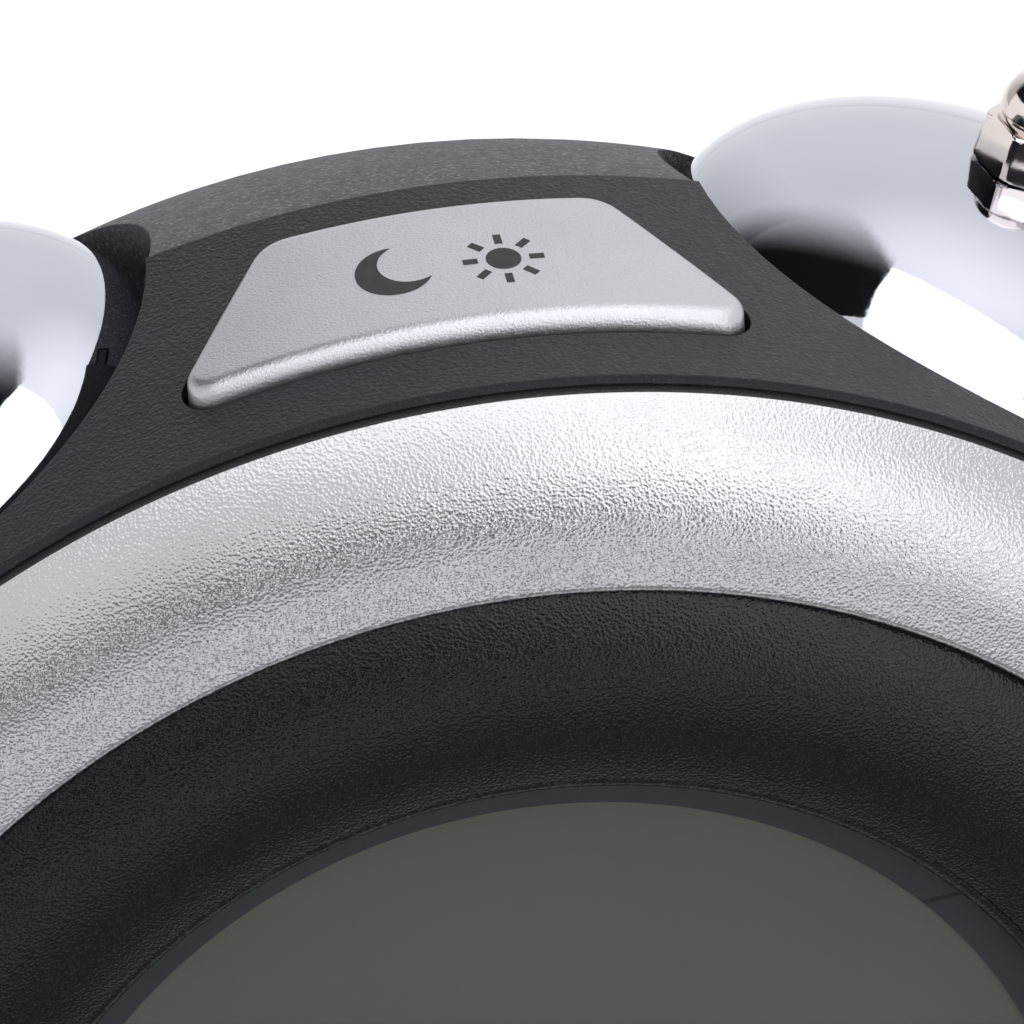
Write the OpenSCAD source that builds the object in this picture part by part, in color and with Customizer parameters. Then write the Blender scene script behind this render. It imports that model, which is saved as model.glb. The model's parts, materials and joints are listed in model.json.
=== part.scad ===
// Round digital alarm clock with two chrome bells, as separate pieces.
// Millimetres, +Z up. The display looks along -Y and the soft pads rest on z = 0.

/* [Front] */
// Outer radius of the silver ring
ring_r = 54; // [54:0.5:58]
// Radial width of the silver ring
ring_w = 9.9; // [9.5:0.1:10]
// Radius of the opening in the black dial surround
window_r = 31.8; // [31.4:0.1:32.6]
// Width of the slate border round the display
border_w = 2.4; // [2.2:0.05:4]
// How far the dial surround bulges forward
dish_rise = 5; // [4.6:0.1:5.6]

/* [Body] */
// Depth at which the two shells meet
split_y = 19; // [18:0.5:20]
// Depth from the front rim to the flat back
body_d = 46; // [46:0.5:52]
// Shell thickness
wall = 2.2; // [2:0.1:2.4]
// Growth of the shell radius from the front rim to the joint
flare = 1.85; // [1.4:0.05:2.2]
// Height of the clock's centre above the table
axis_h = 66; // [65:0.5:72]

/* [Bells] */
// Outer radius of a bell
bell_r = 17.5; // [16:0.25:18]
// Height of a bell's dome above its widest circle
bell_h = 9; // [8.6:0.1:9.4]
// Radius of a bell's rounded shoulder
bell_round = 5.2; // [4.8:0.1:5.6]
// Straight skirt below a bell's widest circle
bell_skirt = 1.6; // [1:0.1:2.2]
// Thickness of a bell's sheet
bell_wall = 1; // [0.8:0.1:1.2]
// Angle from the top at which a bell stands
bell_angle = 36.74; // [36.4:0.02:37.6]
// Depth of a bell's widest circle inside the ring's radius
bell_sink = 2.59; // [2:0.01:3]
// Lean of a bell's stem away from upright
bell_tilt = 22.5; // [21:0.5:24]
// Free gap between a bell and the edge of its pocket
pocket_gap = 2.3; // [2.2:0.1:2.6]
// How far the pocket stands ahead of its bell
pocket_ahead = 1.9; // [1.6:0.1:2]
// Depth of the pocket floor below a bell's widest circle
floor_drop = 4; // [3.6:0.1:4.4]

/* [Snooze button] */
// Width of the button at its front edge
key_front_w = 32.4; // [30:0.2:33]
// Width of the button at its rear edge
key_rear_w = 18.6; // [16:0.2:20]
// Depth of the button's front edge
key_y0 = 4.5; // [4.2:0.1:5]
// Depth of the button's rear edge
key_y1 = 15.6; // [14.6:0.1:16.4]
// Height of the button above the shell
key_rise = 1; // [0.9:0.1:1.4]
// Press travel of the button
key_stroke = 1.2; // [0.8:0.1:1.3]

/* [Back] */
// Radius of the round buttons on the back
pad_r = 3.2; // [2.6:0.1:3.3]
// Press travel of the round buttons
pad_stroke = 0.9; // [0.6:0.1:0.9]
// Radius of the two knobs
knob_r = 6; // [5:0.25:6.5]
// Travel of the alarm slider, end to end
slide_len = 6; // [4:0.5:6]
// Holes in the outer circle of the speaker grille
grille_n = 12; // [8:1:14]

/* [Fits] */
// Gap between a key or slider and its opening
key_gap = 0.35; // [0.3:0.05:0.4]
// Radial running gap of a turning shaft
shaft_gap = 0.06; // [0.03:0.01:0.1]
// Radial gap round screws and studs
screw_gap = 0.02; // [0.02:0.01:0.05]

/* [Hidden] */
// piece that is drawn
$fn = 72;
big = 180;
// front stack, depths from the front rim
rim_y = 0.3;
seat_y = 0.8;
flange_t = 2;
ring_in = ring_r - ring_w;
ring_gap = 0.2;
hub_r = ring_in - 0.2;
view_r = window_r - border_w;
lens_r = window_r + 1.4;
lens_y = -2.6;
mask_y = -1.4;
lcd_y = -1.1;
lcd_t = 2;
lcd_half = view_r + 0.6;
lcd_clip = hub_r - 1.4;
frame_t = 2;
guide_clip = hub_r - 3.6;
guide_y = lcd_y + lcd_t;
board_y = 4.6;
board_t = 1.6;
post_x = 10;
post_r = 2.2;
post_z = max(lcd_half + frame_t + post_r + 1.2,
  sqrt(pow(lens_r + 1.7 + post_r + 0.3, 2) - post_x * post_x));
crest_r = window_r + 0.405 * (hub_r - window_r);
crest_drop = 1.9;
crest_rad = (pow(hub_r - crest_r, 2) + crest_drop * crest_drop) / (2 * crest_drop);
dish_t = 1.6;
// shell shape
back = body_d;
back_in = back - wall;
rear_rad = 70.6;
rear_cy = 2;
rear_r0 = shell_r(split_y) - 0.2;
rear_c = rear_r0 - sqrt(rear_rad * rear_rad - pow(split_y - rear_cy, 2));
flat_r = rear_r(back) - 1.9;
lip_r0 = shell_r(split_y) - wall;
lip_r1 = lip_r0 + 0.9;
lip_l = 1.6;
boss_r = 3.5;
boss_at = ring_r / 54 * [[39.5, -18], [-39.5, -18], [41, 12], [-41, 12]];
board_x = boss_at[0][0] - boss_r - 2;
boss_seat = 26;
tap_r = 1.45;
bay_lip = 3.8;
floor_t = 2;
peg_r = ring_r - 3.5;
// bells
bell_x = (ring_r - bell_sink) * sin(bell_angle);
bell_y = 24.3;
bell_z = (ring_r - bell_sink) * cos(bell_angle);
pocket_r = bell_r + pocket_gap;
tub_r = pocket_r + floor_t;
dome_r = (pow(bell_r - bell_round, 2) + bell_h * bell_h - bell_round * bell_round)
  / (2 * (bell_h - bell_round));
dome_a = atan2(dome_r - bell_h, bell_r - bell_round);
stud_r = 1.5;
nut_af = 5.5;
nut_h = 2.4;
bell_top = bell_h - 0.1;
spacer_r = 3;
nut_top = bell_h - dome_r + sqrt(pow(dome_r - bell_wall, 2) - pow(nut_af / 2 / cos(30), 2)) - 0.02;
cap_h = 2.8;
cap_r = 2.6;
cap_mid = 3.7;
cap_turn = 10;
// snooze button
key_in = shell_r(0) - wall - 2.1;
key_tip = key_in - 2.42;
key_round = [1.5, 2.4, 2.4, 1.5];
key_lip = 0.9;
key_flange = 0.65;
rail_x = [7, 15];
rail_z = key_tip - 4;
// back controls
kb_y = back - 10;
kb_t = 1.2;
kb_screw = [21.5, 1.5];
pad_x = [-13.5, -4.5, 4.5, 13.5];
pad_z = 2;
knob_x = 29;
knob_z = 8;
slide_x = -31.4;
slide_z = -10;
jack_x = 32;
jack_z = -10;
spk_z = 24.5;
spk_r = 16.5;
hole_r = 1.1;
// battery bay
bay_w = 47;
bay_h = 23;
bay_z = -18;
bay_y = back - 13;
cell_r = 5.25;
cell_d = 5.6;
cell_l = 44.5;
hinge_y = back - 0.9;
hinge_z = bay_z - 12.6;
door_r = 0.8;
// vibration motor
mot_y = 29;
mot_z = 14.6104 - rear_r(mot_y);
mot_r = 6;
// feet
foot_a = 31;
pad_t = 2;
foot_y0 = 4;
foot_y1 = 38;
foot_x = 33.5;
foot_soft = [2, 2, 2, 2];
foot_screw_y = [10, 31];
foot_boss = rear_r(foot_screw_y[1]) - 3.65;
foot_tip = ring_r + 8;
sole_r = 5.6;
sole_in = 9;
// frame
knob_top = back + 5;
mid_y = (knob_top - dish_rise) / 2;

// radius of the rear and the front shell at a depth
function rear_r(y) = rear_c + sqrt(rear_rad * rear_rad - pow(y - rear_cy, 2));
function shell_r(y) = ring_r + 0.75 + flare * (y - rim_y) / (split_y - rim_y);

// polygon with corners of radii r, grown by g
function unit(v) = v / norm(v);
function soft(pts, r, g = 0, n = 8) = [for (i = [0 : len(pts) - 1])
  let (
    p = pts[i],
    u = unit(pts[(i + len(pts) - 1) % len(pts)] - p),
    v = unit(pts[(i + 1) % len(pts)] - p),
    half = acos(u * v) / 2,
    c = p + r[i] / sin(half) * unit(u + v),
    a = p + r[i] / tan(half) * u - c,
    b = p + r[i] / tan(half) * v - c,
    t = atan2(a[1], a[0]),
    d = (atan2(b[1], b[0]) - t + 900) % 360 - 180
  )
  for (k = [0 : n]) c + (r[i] + g) * [cos(t + d * k / n), sin(t + d * k / n)]];

// shared shapes
module place() translate([0, -mid_y, axis_h]) children();
module spin() rotate([-90, 0, 0]) rotate_extrude($fn = big) children();
module rod(x, z, r, y0, y1) translate([x, y0, z]) rotate([-90, 0, 0])
  cylinder(r = r, h = y1 - y0);
module slab(x0, x1, y0, y1, z0, z1) translate([x0, y0, z0])
  cube([x1 - x0, y1 - y0, z1 - z0]);
module at_bell(s) translate([s * bell_x, bell_y, bell_z])
  rotate([0, s * bell_tilt, 0]) children();
module both_bells() {
  at_bell(-1) children();
  at_bell(1) children();
}
module radial(s, y) translate([0, y, 0]) rotate([0, 180 - s * foot_a, 0]) children();

// nut with rounded corners
module nut(h, bore) difference() {
  intersection() {
    cylinder(r = nut_af / 2 / cos(30), h = h, $fn = 6);
    translate([0, 0, h / 2]) sphere(r = 3.3);
  }
  translate([0, 0, -1]) cylinder(r = bore, h = h + 2);
}

// outlines turned about the clock's axis, as radius and depth
module front_solid_2d() polygon([[0, rim_y], [shell_r(rim_y), rim_y],
  [shell_r(split_y), split_y], [0, split_y]]);
module front_shell_2d() polygon([
  [ring_r + ring_gap, rim_y], [shell_r(rim_y), rim_y], [shell_r(split_y), split_y],
  [lip_r1, split_y], [lip_r1, split_y + lip_l], [lip_r0, split_y + lip_l],
  [lip_r0, split_y], [shell_r(seat_y + flange_t) - wall, seat_y + flange_t],
  [ring_in + 0.5, seat_y + flange_t], [ring_in + 0.5, seat_y],
  [ring_r + ring_gap, seat_y]]);
module rear_solid_2d() intersection() {
  translate([rear_c, rear_cy]) circle(r = rear_rad, $fn = 240);
  polygon([[0, split_y], [90, split_y], [90, back - 6], [flat_r + 5, back - 3.6],
    [flat_r, back], [0, back]]);
}
module rear_shell_2d() difference() {
  rear_solid_2d();
  intersection() {
    translate([rear_c, rear_cy]) circle(r = rear_rad - wall, $fn = 240);
    translate([0, split_y - 1]) square([90, back_in - split_y + 1]);
  }
}

module tubs() both_bells() translate([0, -pocket_ahead, -floor_drop - floor_t])
  cylinder(r = tub_r, h = 40, $fn = 120);
module pockets() both_bells() {
  translate([0, -pocket_ahead, -floor_drop]) cylinder(r = pocket_r, h = 40, $fn = 120);
  translate([0, 0, -floor_drop - 5]) cylinder(r = stud_r + 0.1, h = 6);
}

// plan of the snooze button, grown by g
module key_plan(g) polygon(soft([[key_front_w / 2, key_y0], [key_rear_w / 2, key_y1],
  [-key_rear_w / 2, key_y1], [-key_front_w / 2, key_y0]], key_round, g));

// ring of speaker holes
module holes(n, r) for (i = [0 : n - 1])
  rod(r * cos(i * 360 / n), spk_z + r * sin(i * 360 / n), hole_r, back_in - 2, back + 2);

// shells
module front_housing() color("#2b2b30") place() difference() {
  union() {
    spin() front_shell_2d();
    intersection() {
      spin() front_solid_2d();
      tubs();
    }
    for (p = boss_at) rod(p[0], p[1], boss_r, seat_y + 0.5, split_y);
    for (s = [0, 1]) mirror([s, 0, 0])
      slab(rail_x[0], rail_x[1], 8.5, 14, rail_z - 1.6, rail_z);
  }
  spin() square([ring_r + ring_gap, seat_y]);
  pockets();
  translate([0, 0, key_in - 3.42]) linear_extrude(height = 20) key_plan(key_gap);
  for (p = boss_at) rod(p[0], p[1], tap_r + screw_gap, 6, split_y + 3);
  for (a = [0, 90, 180, 270]) rod(peg_r * cos(a), peg_r * sin(a), 1.3, 0, 4);
  for (s = [-1, 1]) radial(s, foot_screw_y[0])
    translate([0, 0, 48]) cylinder(r = 1.6, h = 12);
}

module rear_housing() color("#37373b") place() difference() {
  union() {
    spin() rear_shell_2d();
    intersection() {
      spin() rear_solid_2d();
      union() {
        tubs();
        for (p = boss_at) rod(p[0], p[1], boss_r, split_y, back + 2);
        slab(-25, 25, bay_y - 1.5, back + 2, bay_z - 13, bay_z + 13);
        slab(-27.6, 27.6, back - bay_lip, back + 2, bay_z - 15.4, bay_z + 15.4);
        slab(-11, 1, mot_y - 5.5, mot_y + 5.5, -60, mot_z - 7.5);
        for (s = [-1, 1]) radial(s, foot_screw_y[1])
          translate([0, 0, foot_boss]) cylinder(r = 3.4, h = 10);
        for (s = [-1, 1]) rod(s * kb_screw[0], kb_screw[1], 2, kb_y + kb_t, back);
        difference() {
          rod(0, spk_z, spk_r + 1, back_in - 3.2, back);
          rod(0, spk_z, spk_r + 0.1, back_in - 4, back_in);
        }
      }
    }
  }
  pockets();
  spin() translate([lip_r0 - 0.2, split_y - 2]) square([lip_r1 - lip_r0 + 0.35, lip_l + 2.2]);
  for (p = boss_at) {
    rod(p[0], p[1], 1.6, split_y - 2, back + 3);
    rod(p[0], p[1], 3.15, boss_seat, back + 3);
  }
  for (s = [-1, 1]) radial(s, foot_screw_y[1]) translate([0, 0, 44]) cylinder(r = 1.6, h = 16);
  for (s = [-1, 1]) rod(s * kb_screw[0], kb_screw[1], 1 + screw_gap, kb_y, back_in - 1);
  rod(0, spk_z, hole_r, back_in - 2, back + 2);
  holes(6, 5);
  holes(grille_n, 10);
  for (x = pad_x) rod(x, pad_z, pad_r + key_gap, back_in - 2, back + 2);
  for (s = [-1, 1]) rod(s * knob_x, knob_z, 3.1, back_in - 2, back + 2);
  slab(slide_x - 1.5 - key_gap, slide_x + 1.5 + key_gap, back_in - 1, back + 2,
    slide_z - (5 + slide_len) / 2 - key_gap, slide_z + (5 + slide_len) / 2 + key_gap);
  rod(jack_x, jack_z, 4.1, back_in - 1, back + 2);
  slab(-bay_w / 2, bay_w / 2, bay_y, back + 2, bay_z - bay_h / 2, bay_z + bay_h / 2);
  slab(-26, 26, back - 2.05, back + 2, hinge_z - 1.2, bay_z + 13.8);
  slab(-5, 5, back - 1.4, back + 2, bay_z + 13, bay_z + 15);
  translate([-27.2, hinge_y, hinge_z]) rotate([0, 90, 0]) cylinder(r = 0.55 + shaft_gap, h = 54.4);
}

// front trim and display stack
module bezel_ring() color("#c9c9cc") place() {
  spin() union() {
    polygon([[ring_r, seat_y], [ring_r, -0.3], [ring_r - 5, -3.25], [ring_in + 0.5, -4.42],
      [ring_in, -3.9], [ring_in, -0.7], [ring_in + 4.4, -0.7], [ring_in + 4.4, seat_y]]);
    intersection() {
      translate([ring_r - 6.06, 4.27]) circle(r = 7.6, $fn = 144);
      polygon([[ring_r, -0.3], [ring_r - 5, -3.25], [ring_r - 2, -6], [ring_r, -6]]);
    }
  }
  for (a = [0, 90, 180, 270])
    rod(peg_r * cos(a), peg_r * sin(a), 1.2, seat_y - 1, seat_y + flange_t + 0.6);
}

module dial_surround() color("#1d1d20") place() difference() {
  union() {
    spin() union() {
      difference() {
        intersection() {
          difference() {
            translate([crest_r, crest_rad - dish_rise]) circle(r = crest_rad, $fn = 200);
            translate([crest_r, crest_rad - dish_rise]) circle(r = crest_rad - dish_t, $fn = 200);
          }
          polygon([[window_r + 0.6, -8], [hub_r, -8], [hub_r, -1], [window_r + 0.6, -1]]);
        }
        translate([0, lens_y]) square([lens_r + 0.2, 9]);
      }
      translate([window_r + 0.6, -3.5]) circle(r = 0.6);
      polygon([[window_r, -3.5], [lens_r + 0.2, -3.5], [lens_r + 0.2, -3.2], [lens_r + 1.7, -3.2],
        [lens_r + 1.7, lcd_y], [lens_r + 0.2, lcd_y], [lens_r + 0.2, lens_y], [window_r, lens_y]]);
      polygon([[hub_r - 0.9, -2.8], [hub_r, -2.8], [hub_r, -0.7], [ring_in + 4.2, -0.7],
        [ring_in + 4.2, seat_y], [hub_r - 0.9, seat_y]]);
    }
    for (s = [-1, 1], t = [-1, 1]) rod(s * post_x, t * post_z, post_r, -3.3, board_y);
  }
  for (s = [-1, 1], t = [-1, 1]) rod(s * post_x, t * post_z, 1 + screw_gap, -1.4, board_y + 1);
}

module display_lens() color("#a9b3b0", 0.4) place() rod(0, 0, lens_r, lens_y, mask_y);

module display_mask() color("#2c3036") place() difference() {
  rod(0, 0, lens_r, mask_y, lcd_y);
  rod(0, 0, view_r, mask_y - 1, lcd_y + 1);
}

module lcd_panel() color("#50564d") place() intersection() {
  slab(-lcd_half, lcd_half, lcd_y, guide_y, -lcd_half, lcd_half);
  rod(0, 0, lcd_clip, lcd_y - 1, guide_y + 1);
}

module light_guide() color("#e8ecea") place() intersection() {
  slab(1 - lcd_half, lcd_half - 1, guide_y, board_y, 2.6 - lcd_half, lcd_half - 2.6);
  rod(0, 0, guide_clip, guide_y - 1, board_y + 1);
}

module backlight_leds() color("#f2efe0") place()
  for (x = [-14, 0, 14]) slab(x - 1.7, x + 1.7, 2.4, board_y, lcd_half - 2.4, lcd_half - 1);

module display_frame() color("#dcdcd8") place() difference() {
  intersection() {
    slab(-lcd_half - frame_t, lcd_half + frame_t, guide_y, board_y, -lcd_half - frame_t - 0.4,
      lcd_half + frame_t);
    rod(0, 0, ring_in, -4, 9);
  }
  intersection() {
    slab(0.8 - lcd_half, lcd_half - 0.8, guide_y - 1, board_y + 1, -lcd_half - 0.2, lcd_half - 0.8);
    rod(0, 0, guide_clip + 0.2, -4, 9);
  }
}

module contact_strip() color("#c98f8a") place() intersection() {
  slab(2 - lcd_half, lcd_half - 2, guide_y, board_y, -lcd_half, 2.2 - lcd_half);
  rod(0, 0, guide_clip, guide_y - 1, board_y + 1);
}

module main_board() color("#1f5a34") place() difference() {
  intersection() {
    union() {
      slab(-board_x, board_x, board_y, board_y + board_t, -post_z - 2.6, lcd_half);
      slab(-post_x - 3.5, post_x + 3.5, board_y, board_y + board_t, lcd_half - 1, post_z + 2.6);
    }
    rod(0, 0, ring_r - 2.5, board_y - 1, board_y + board_t + 1);
  }
  for (s = [-1, 1], t = [-1, 1])
    rod(s * post_x, t * post_z, 1.15, board_y - 1, board_y + board_t + 1);
}

module board_parts() color("#26262a") place() {
  y = board_y + board_t;
  rod(0, -16, 6, y, y + 1.4);
  slab(14, 26, y, y + 2, 6, 18);
  slab(-24, -16, y, y + 3.2, 10, 13.4);
  rod(-22, -24, 3, y, y + 8);
  rod(-14, -25, 2.5, y, y + 6);
  slab(-27, -23, y, y + 2.6, -6, -1);
}

module board_screws() color("#b7b2a8") place() {
  for (s = [-1, 1], t = [-1, 1]) {
    rod(s * post_x, t * post_z, 2, board_y + board_t, board_y + board_t + 1.4);
    rod(s * post_x, t * post_z, 1, -0.6, board_y + board_t + 0.2);
  }
  for (s = [-1, 1]) {
    rod(s * kb_screw[0], kb_screw[1], 2, kb_y - 1.4, kb_y);
    rod(s * kb_screw[0], kb_screw[1], 1, kb_y - 0.2, kb_y + 6.6);
  }
}

// snooze key
module snooze_button() color("#cfcfd2") place() {
  intersection() {
    translate([0, 0, 30]) linear_extrude(height = 40) key_plan(0);
    spin() union() {
      q = key_lip;
      r0 = shell_r(key_y0) + key_rise;
      r1 = shell_r(key_y1) + key_rise;
      polygon([[key_in, key_y0], [r0 - q, key_y0], [r0, key_y0 + q], [r1, key_y1 - q],
        [r1 - q, key_y1], [key_in, key_y1]]);
      translate([r0 - q, key_y0 + q]) circle(r = q);
      translate([r1 - q, key_y1 - q]) circle(r = q);
    }
  }
  intersection() {
    translate([0, 0, 30]) linear_extrude(height = 40) key_plan(key_flange);
    spin() translate([key_in - 0.2, 0]) square([1.2, split_y]);
  }
  translate([0, 11, key_tip]) cylinder(r = 1.7, h = key_in - key_tip + 0.5);
}

module snooze_board() color("#1f5a34") place() slab(-8.3, 8.3, 7, 15.5, rail_z, rail_z + kb_t);

module snooze_switch() color("#2a2a2e") place() difference() {
  slab(-3, 3, 8, 14, rail_z + kb_t, key_tip + 0.7);
  translate([0, 11, key_tip - key_stroke - 0.6]) cylinder(r = 1.7 + key_gap, h = 6);
}

// bells and their stems
module bell_2d(off, skirt) intersection() {
  union() {
    intersection() {
      translate([0, bell_h - dome_r]) circle(r = dome_r - off, $fn = 300);
      polygon([[0, bell_h - dome_r],
        [0, bell_h - dome_r] + 2 * dome_r * [cos(dome_a), sin(dome_a)], [0, 2 * dome_r]]);
    }
    translate([bell_r - bell_round, 0]) circle(r = bell_round - off);
    polygon([[0, -skirt], [bell_r - off, -skirt], [bell_r - off, 0], [bell_r - bell_round, 0],
      [bell_r - bell_round, bell_round * 0.5], [0, bell_h * 0.5]]);
  }
  translate([0, -skirt]) square([bell_r + 1, bell_top + skirt]);
}
module bell() rotate_extrude($fn = 144) difference() {
  bell_2d(0, bell_skirt);
  bell_2d(bell_wall, bell_skirt + 1);
  translate([0, -9]) square([stud_r + 0.1, 30]);
}
module left_bell() color("#d9dade") place() at_bell(-1) bell();
module right_bell() color("#d9dade") place() at_bell(1) bell();

module bell_studs() color("#a8a49c") place() both_bells()
  translate([0, 0, -floor_drop - 5.6])
    cylinder(r = stud_r, h = floor_drop + bell_top + 5.6 + 3.2);

module bell_spacers() color("#b5b5b8") place() both_bells() difference() {
  translate([0, 0, -floor_drop]) cylinder(r = spacer_r, h = floor_drop + nut_top - nut_h);
  translate([0, 0, -floor_drop - 1]) cylinder(r = stud_r + screw_gap, h = floor_drop + bell_h + 2);
}

module bell_nuts() color("#c4b8b2") place() both_bells()
  translate([0, 0, nut_top - nut_h]) nut(nut_h, stud_r + screw_gap);

module cap_nuts() color("#c4b8b2") place() both_bells() translate([0, 0, bell_top])
  rotate([0, 0, cap_turn]) difference() {
    union() {
      nut(cap_h, 0.5);
      translate([0, 0, 1]) cylinder(r = cap_r, h = cap_mid - 1);
      translate([0, 0, cap_mid]) sphere(r = cap_r);
    }
    translate([0, 0, -1]) cylinder(r = stud_r + screw_gap, h = 4.4);
  }

module stud_nuts() color("#b0aca4") place() both_bells()
  translate([0, 0, -floor_drop - floor_t - nut_h]) nut(nut_h, stud_r + screw_gap);

// sound and vibration
module speaker_basket() color("#3a3a3e") place()
  translate([0, 0, spk_z]) rotate([-90, 0, 0]) difference() {
  union() {
    translate([0, 0, back_in - 2]) cylinder(r = spk_r, h = 2);
    translate([0, 0, back_in - 7.3]) cylinder(r1 = 9.5, r2 = 15.2, h = 5.4);
    translate([0, 0, back_in - 12.3]) cylinder(r = 9.5, h = 5.2);
  }
  translate([0, 0, back_in - 6]) cylinder(r1 = 8, r2 = 14.4, h = 6.1);
}

module speaker_cone() color("#4a4640") place()
  translate([0, 0, spk_z]) rotate([-90, 0, 0]) {
  difference() {
    translate([0, 0, back_in - 5.2]) cylinder(r1 = 7, r2 = 13.2, h = 4.6);
    translate([0, 0, back_in - 4.6]) cylinder(r1 = 6.8, r2 = 13, h = 4.6);
  }
  translate([0, 0, back_in - 6]) cylinder(r = 5, h = 1.6);
}

module vibration_motor() color("#b4b6ba") place()
  translate([-15, mot_y, mot_z]) rotate([0, 90, 0]) difference() {
  union() {
    cylinder(r = mot_r, h = 18);
    cylinder(r = 2.4, h = 19.2);
  }
  translate([0, 0, 8]) cylinder(r = 1 + shaft_gap, h = 20);
}

module motor_clamp() color("#3c3c40") place() difference() {
  union() {
    translate([-10, mot_y, mot_z]) rotate([0, 90, 0]) cylinder(r = mot_r + 1.4, h = 10);
    slab(-10, 0, mot_y - 5.4, mot_y + 5.4, mot_z - 7.5, mot_z - 3);
  }
  translate([-12, mot_y, mot_z]) rotate([0, 90, 0]) cylinder(r = mot_r + screw_gap, h = 14);
}

module eccentric_weight() color("#8d8a84") place()
  translate([0, mot_y, mot_z]) rotate([0, 90, 0]) {
  translate([0, 0, -6]) cylinder(r = 1, h = 18.4);
  translate([0, 0, 6]) cylinder(r = 2.2, h = 6);
  intersection() {
    translate([0, 0, 6]) cylinder(r = 5.6, h = 6);
    translate([0, -7, 0]) cube([7, 14, 14]);
  }
}

// controls on the back
module key_board() color("#1f5a34") place() difference() {
  union() {
    slab(-35.6, 35.6, kb_y, kb_y + kb_t, -2.4, 6.8);
    slab(25.6, 35.6, kb_y, kb_y + kb_t, -19, 13.5);
    slab(-35.6, -25.6, kb_y, kb_y + kb_t, -19, 13.5);
  }
  for (s = [-1, 1]) rod(s * kb_screw[0], kb_screw[1], 1.1, kb_y - 1, kb_y + kb_t + 1);
}

module key_switches() color("#303034") place() for (x = pad_x) difference() {
  slab(x - 3, x + 3, kb_y + kb_t, kb_y + 4.8, pad_z - 3, pad_z + 3);
  rod(x, pad_z, 1.6 + key_gap, kb_y + 3.3 - pad_stroke, kb_y + 6);
}

module pad(i) color("#2e2e32") place() {
  rod(pad_x[i], pad_z, pad_r, back_in - 1.4, back + 1.6);
  rod(pad_x[i], pad_z, pad_r + 1, back_in - 1.8, back_in - 0.4);
  rod(pad_x[i], pad_z, 1.6, kb_y + 4, back_in - 1);
}
module time_button() pad(0);
module alarm_button() pad(1);
module down_button() pad(2);
module up_button() pad(3);

module control_pots() color("#59595e") place() for (s = [-1, 1]) difference() {
  union() {
    slab(s * knob_x - 4.7, s * knob_x + 4.7, kb_y + kb_t, kb_y + 6.2,
      knob_z - 4.7, knob_z + 4.7);
    rod(s * knob_x, knob_z, 3, kb_y + 5, back - 0.4);
  }
  rod(s * knob_x, knob_z, 1.5 + shaft_gap, kb_y + 2.5, back + 1);
}

module knob(s) color("#2e2e32") place() {
  difference() {
    rod(s * knob_x, knob_z, knob_r, back + 0.5, knob_top);
    slab(s * knob_x - 0.6, s * knob_x + 0.6, knob_top - 0.8, knob_top + 1,
      knob_z + 1.5, knob_z + knob_r + 1);
    for (i = [0 : 17]) rod(s * knob_x + (knob_r + 0.35) * cos(i * 20 + 10),
      knob_z + (knob_r + 0.35) * sin(i * 20 + 10), 0.7, back + 1.6, knob_top + 1);
  }
  rod(s * knob_x, knob_z, 1.5, kb_y + 3, back + 1);
}
module volume_knob() knob(-1);
module dimmer_knob() knob(1);

module slide_switch() color("#8f9094") place() difference() {
  slab(slide_x - 4, slide_x + 4, kb_y + kb_t, kb_y + 5, slide_z - 8, slide_z + 8);
  slab(slide_x - 1 - key_gap, slide_x + 1 + key_gap, kb_y + 2.6, kb_y + 6,
    slide_z - (3 + slide_len) / 2 - key_gap, slide_z + (3 + slide_len) / 2 + key_gap);
}

module alarm_slider() color("#2e2e32") place() {
  difference() {
    slab(slide_x - 1.5, slide_x + 1.5, back_in - 1.4, back + 1.4, slide_z - 2.5, slide_z + 2.5);
    for (z = [-1.2, 0, 1.2])
      slab(slide_x - 3, slide_x + 3, back + 1, back + 2, slide_z + z - 0.25, slide_z + z + 0.25);
  }
  slab(slide_x - 3.2, slide_x + 3.2, back_in - 1.7, back_in - 0.4, slide_z - 7, slide_z + 7);
  slab(slide_x - 1, slide_x + 1, kb_y + 3.2, back_in - 1, slide_z - 1.5, slide_z + 1.5);
}

module power_jack() color("#222226") place() {
  difference() {
    union() {
      slab(jack_x - 4.5, jack_x + 4.5, kb_y + kb_t, back - bay_lip - 0.4, jack_z - 4.5, jack_z + 4.5);
      rod(jack_x, jack_z, 4, back - bay_lip - 1.2, back);
    }
    rod(jack_x, jack_z, 2.75, kb_y + 2.2, back + 1);
  }
  rod(jack_x, jack_z, 1, kb_y + 2, back - 1.2);
}

// battery bay
module battery_cells() color("#5b6b78") place() for (s = [-1, 1])
  translate([0, bay_y + cell_d, bay_z + s * cell_d]) rotate([0, s * 90, 0]) translate([0, 0, -cell_l / 2]) {
    cylinder(r = cell_r, h = cell_l - 1.2);
    cylinder(r = 1.9, h = cell_l);
  }

module battery_contacts() color("#c7c2b6") place() for (s = [-1, 1], t = [-1, 1])
  translate([t * bay_w / 2, bay_y + cell_d, bay_z + s * cell_d]) rotate([0, -t * 90, 0]) {
    translate([-4.4, -4.4, 0]) cube([8.8, 8.8, 0.5]);
    cylinder(r = 2, h = (bay_w - cell_l) / 2);
  }

module battery_door() color("#37373b") place() {
  slab(-25.6, 25.6, hinge_y - door_r, hinge_y + door_r, hinge_z, bay_z + 13.4);
  translate([-25.6, hinge_y, hinge_z]) rotate([0, 90, 0]) cylinder(r = door_r, h = 51.2);
  translate([-27, hinge_y, hinge_z]) rotate([0, 90, 0]) cylinder(r = 0.55, h = 54);
}

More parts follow.
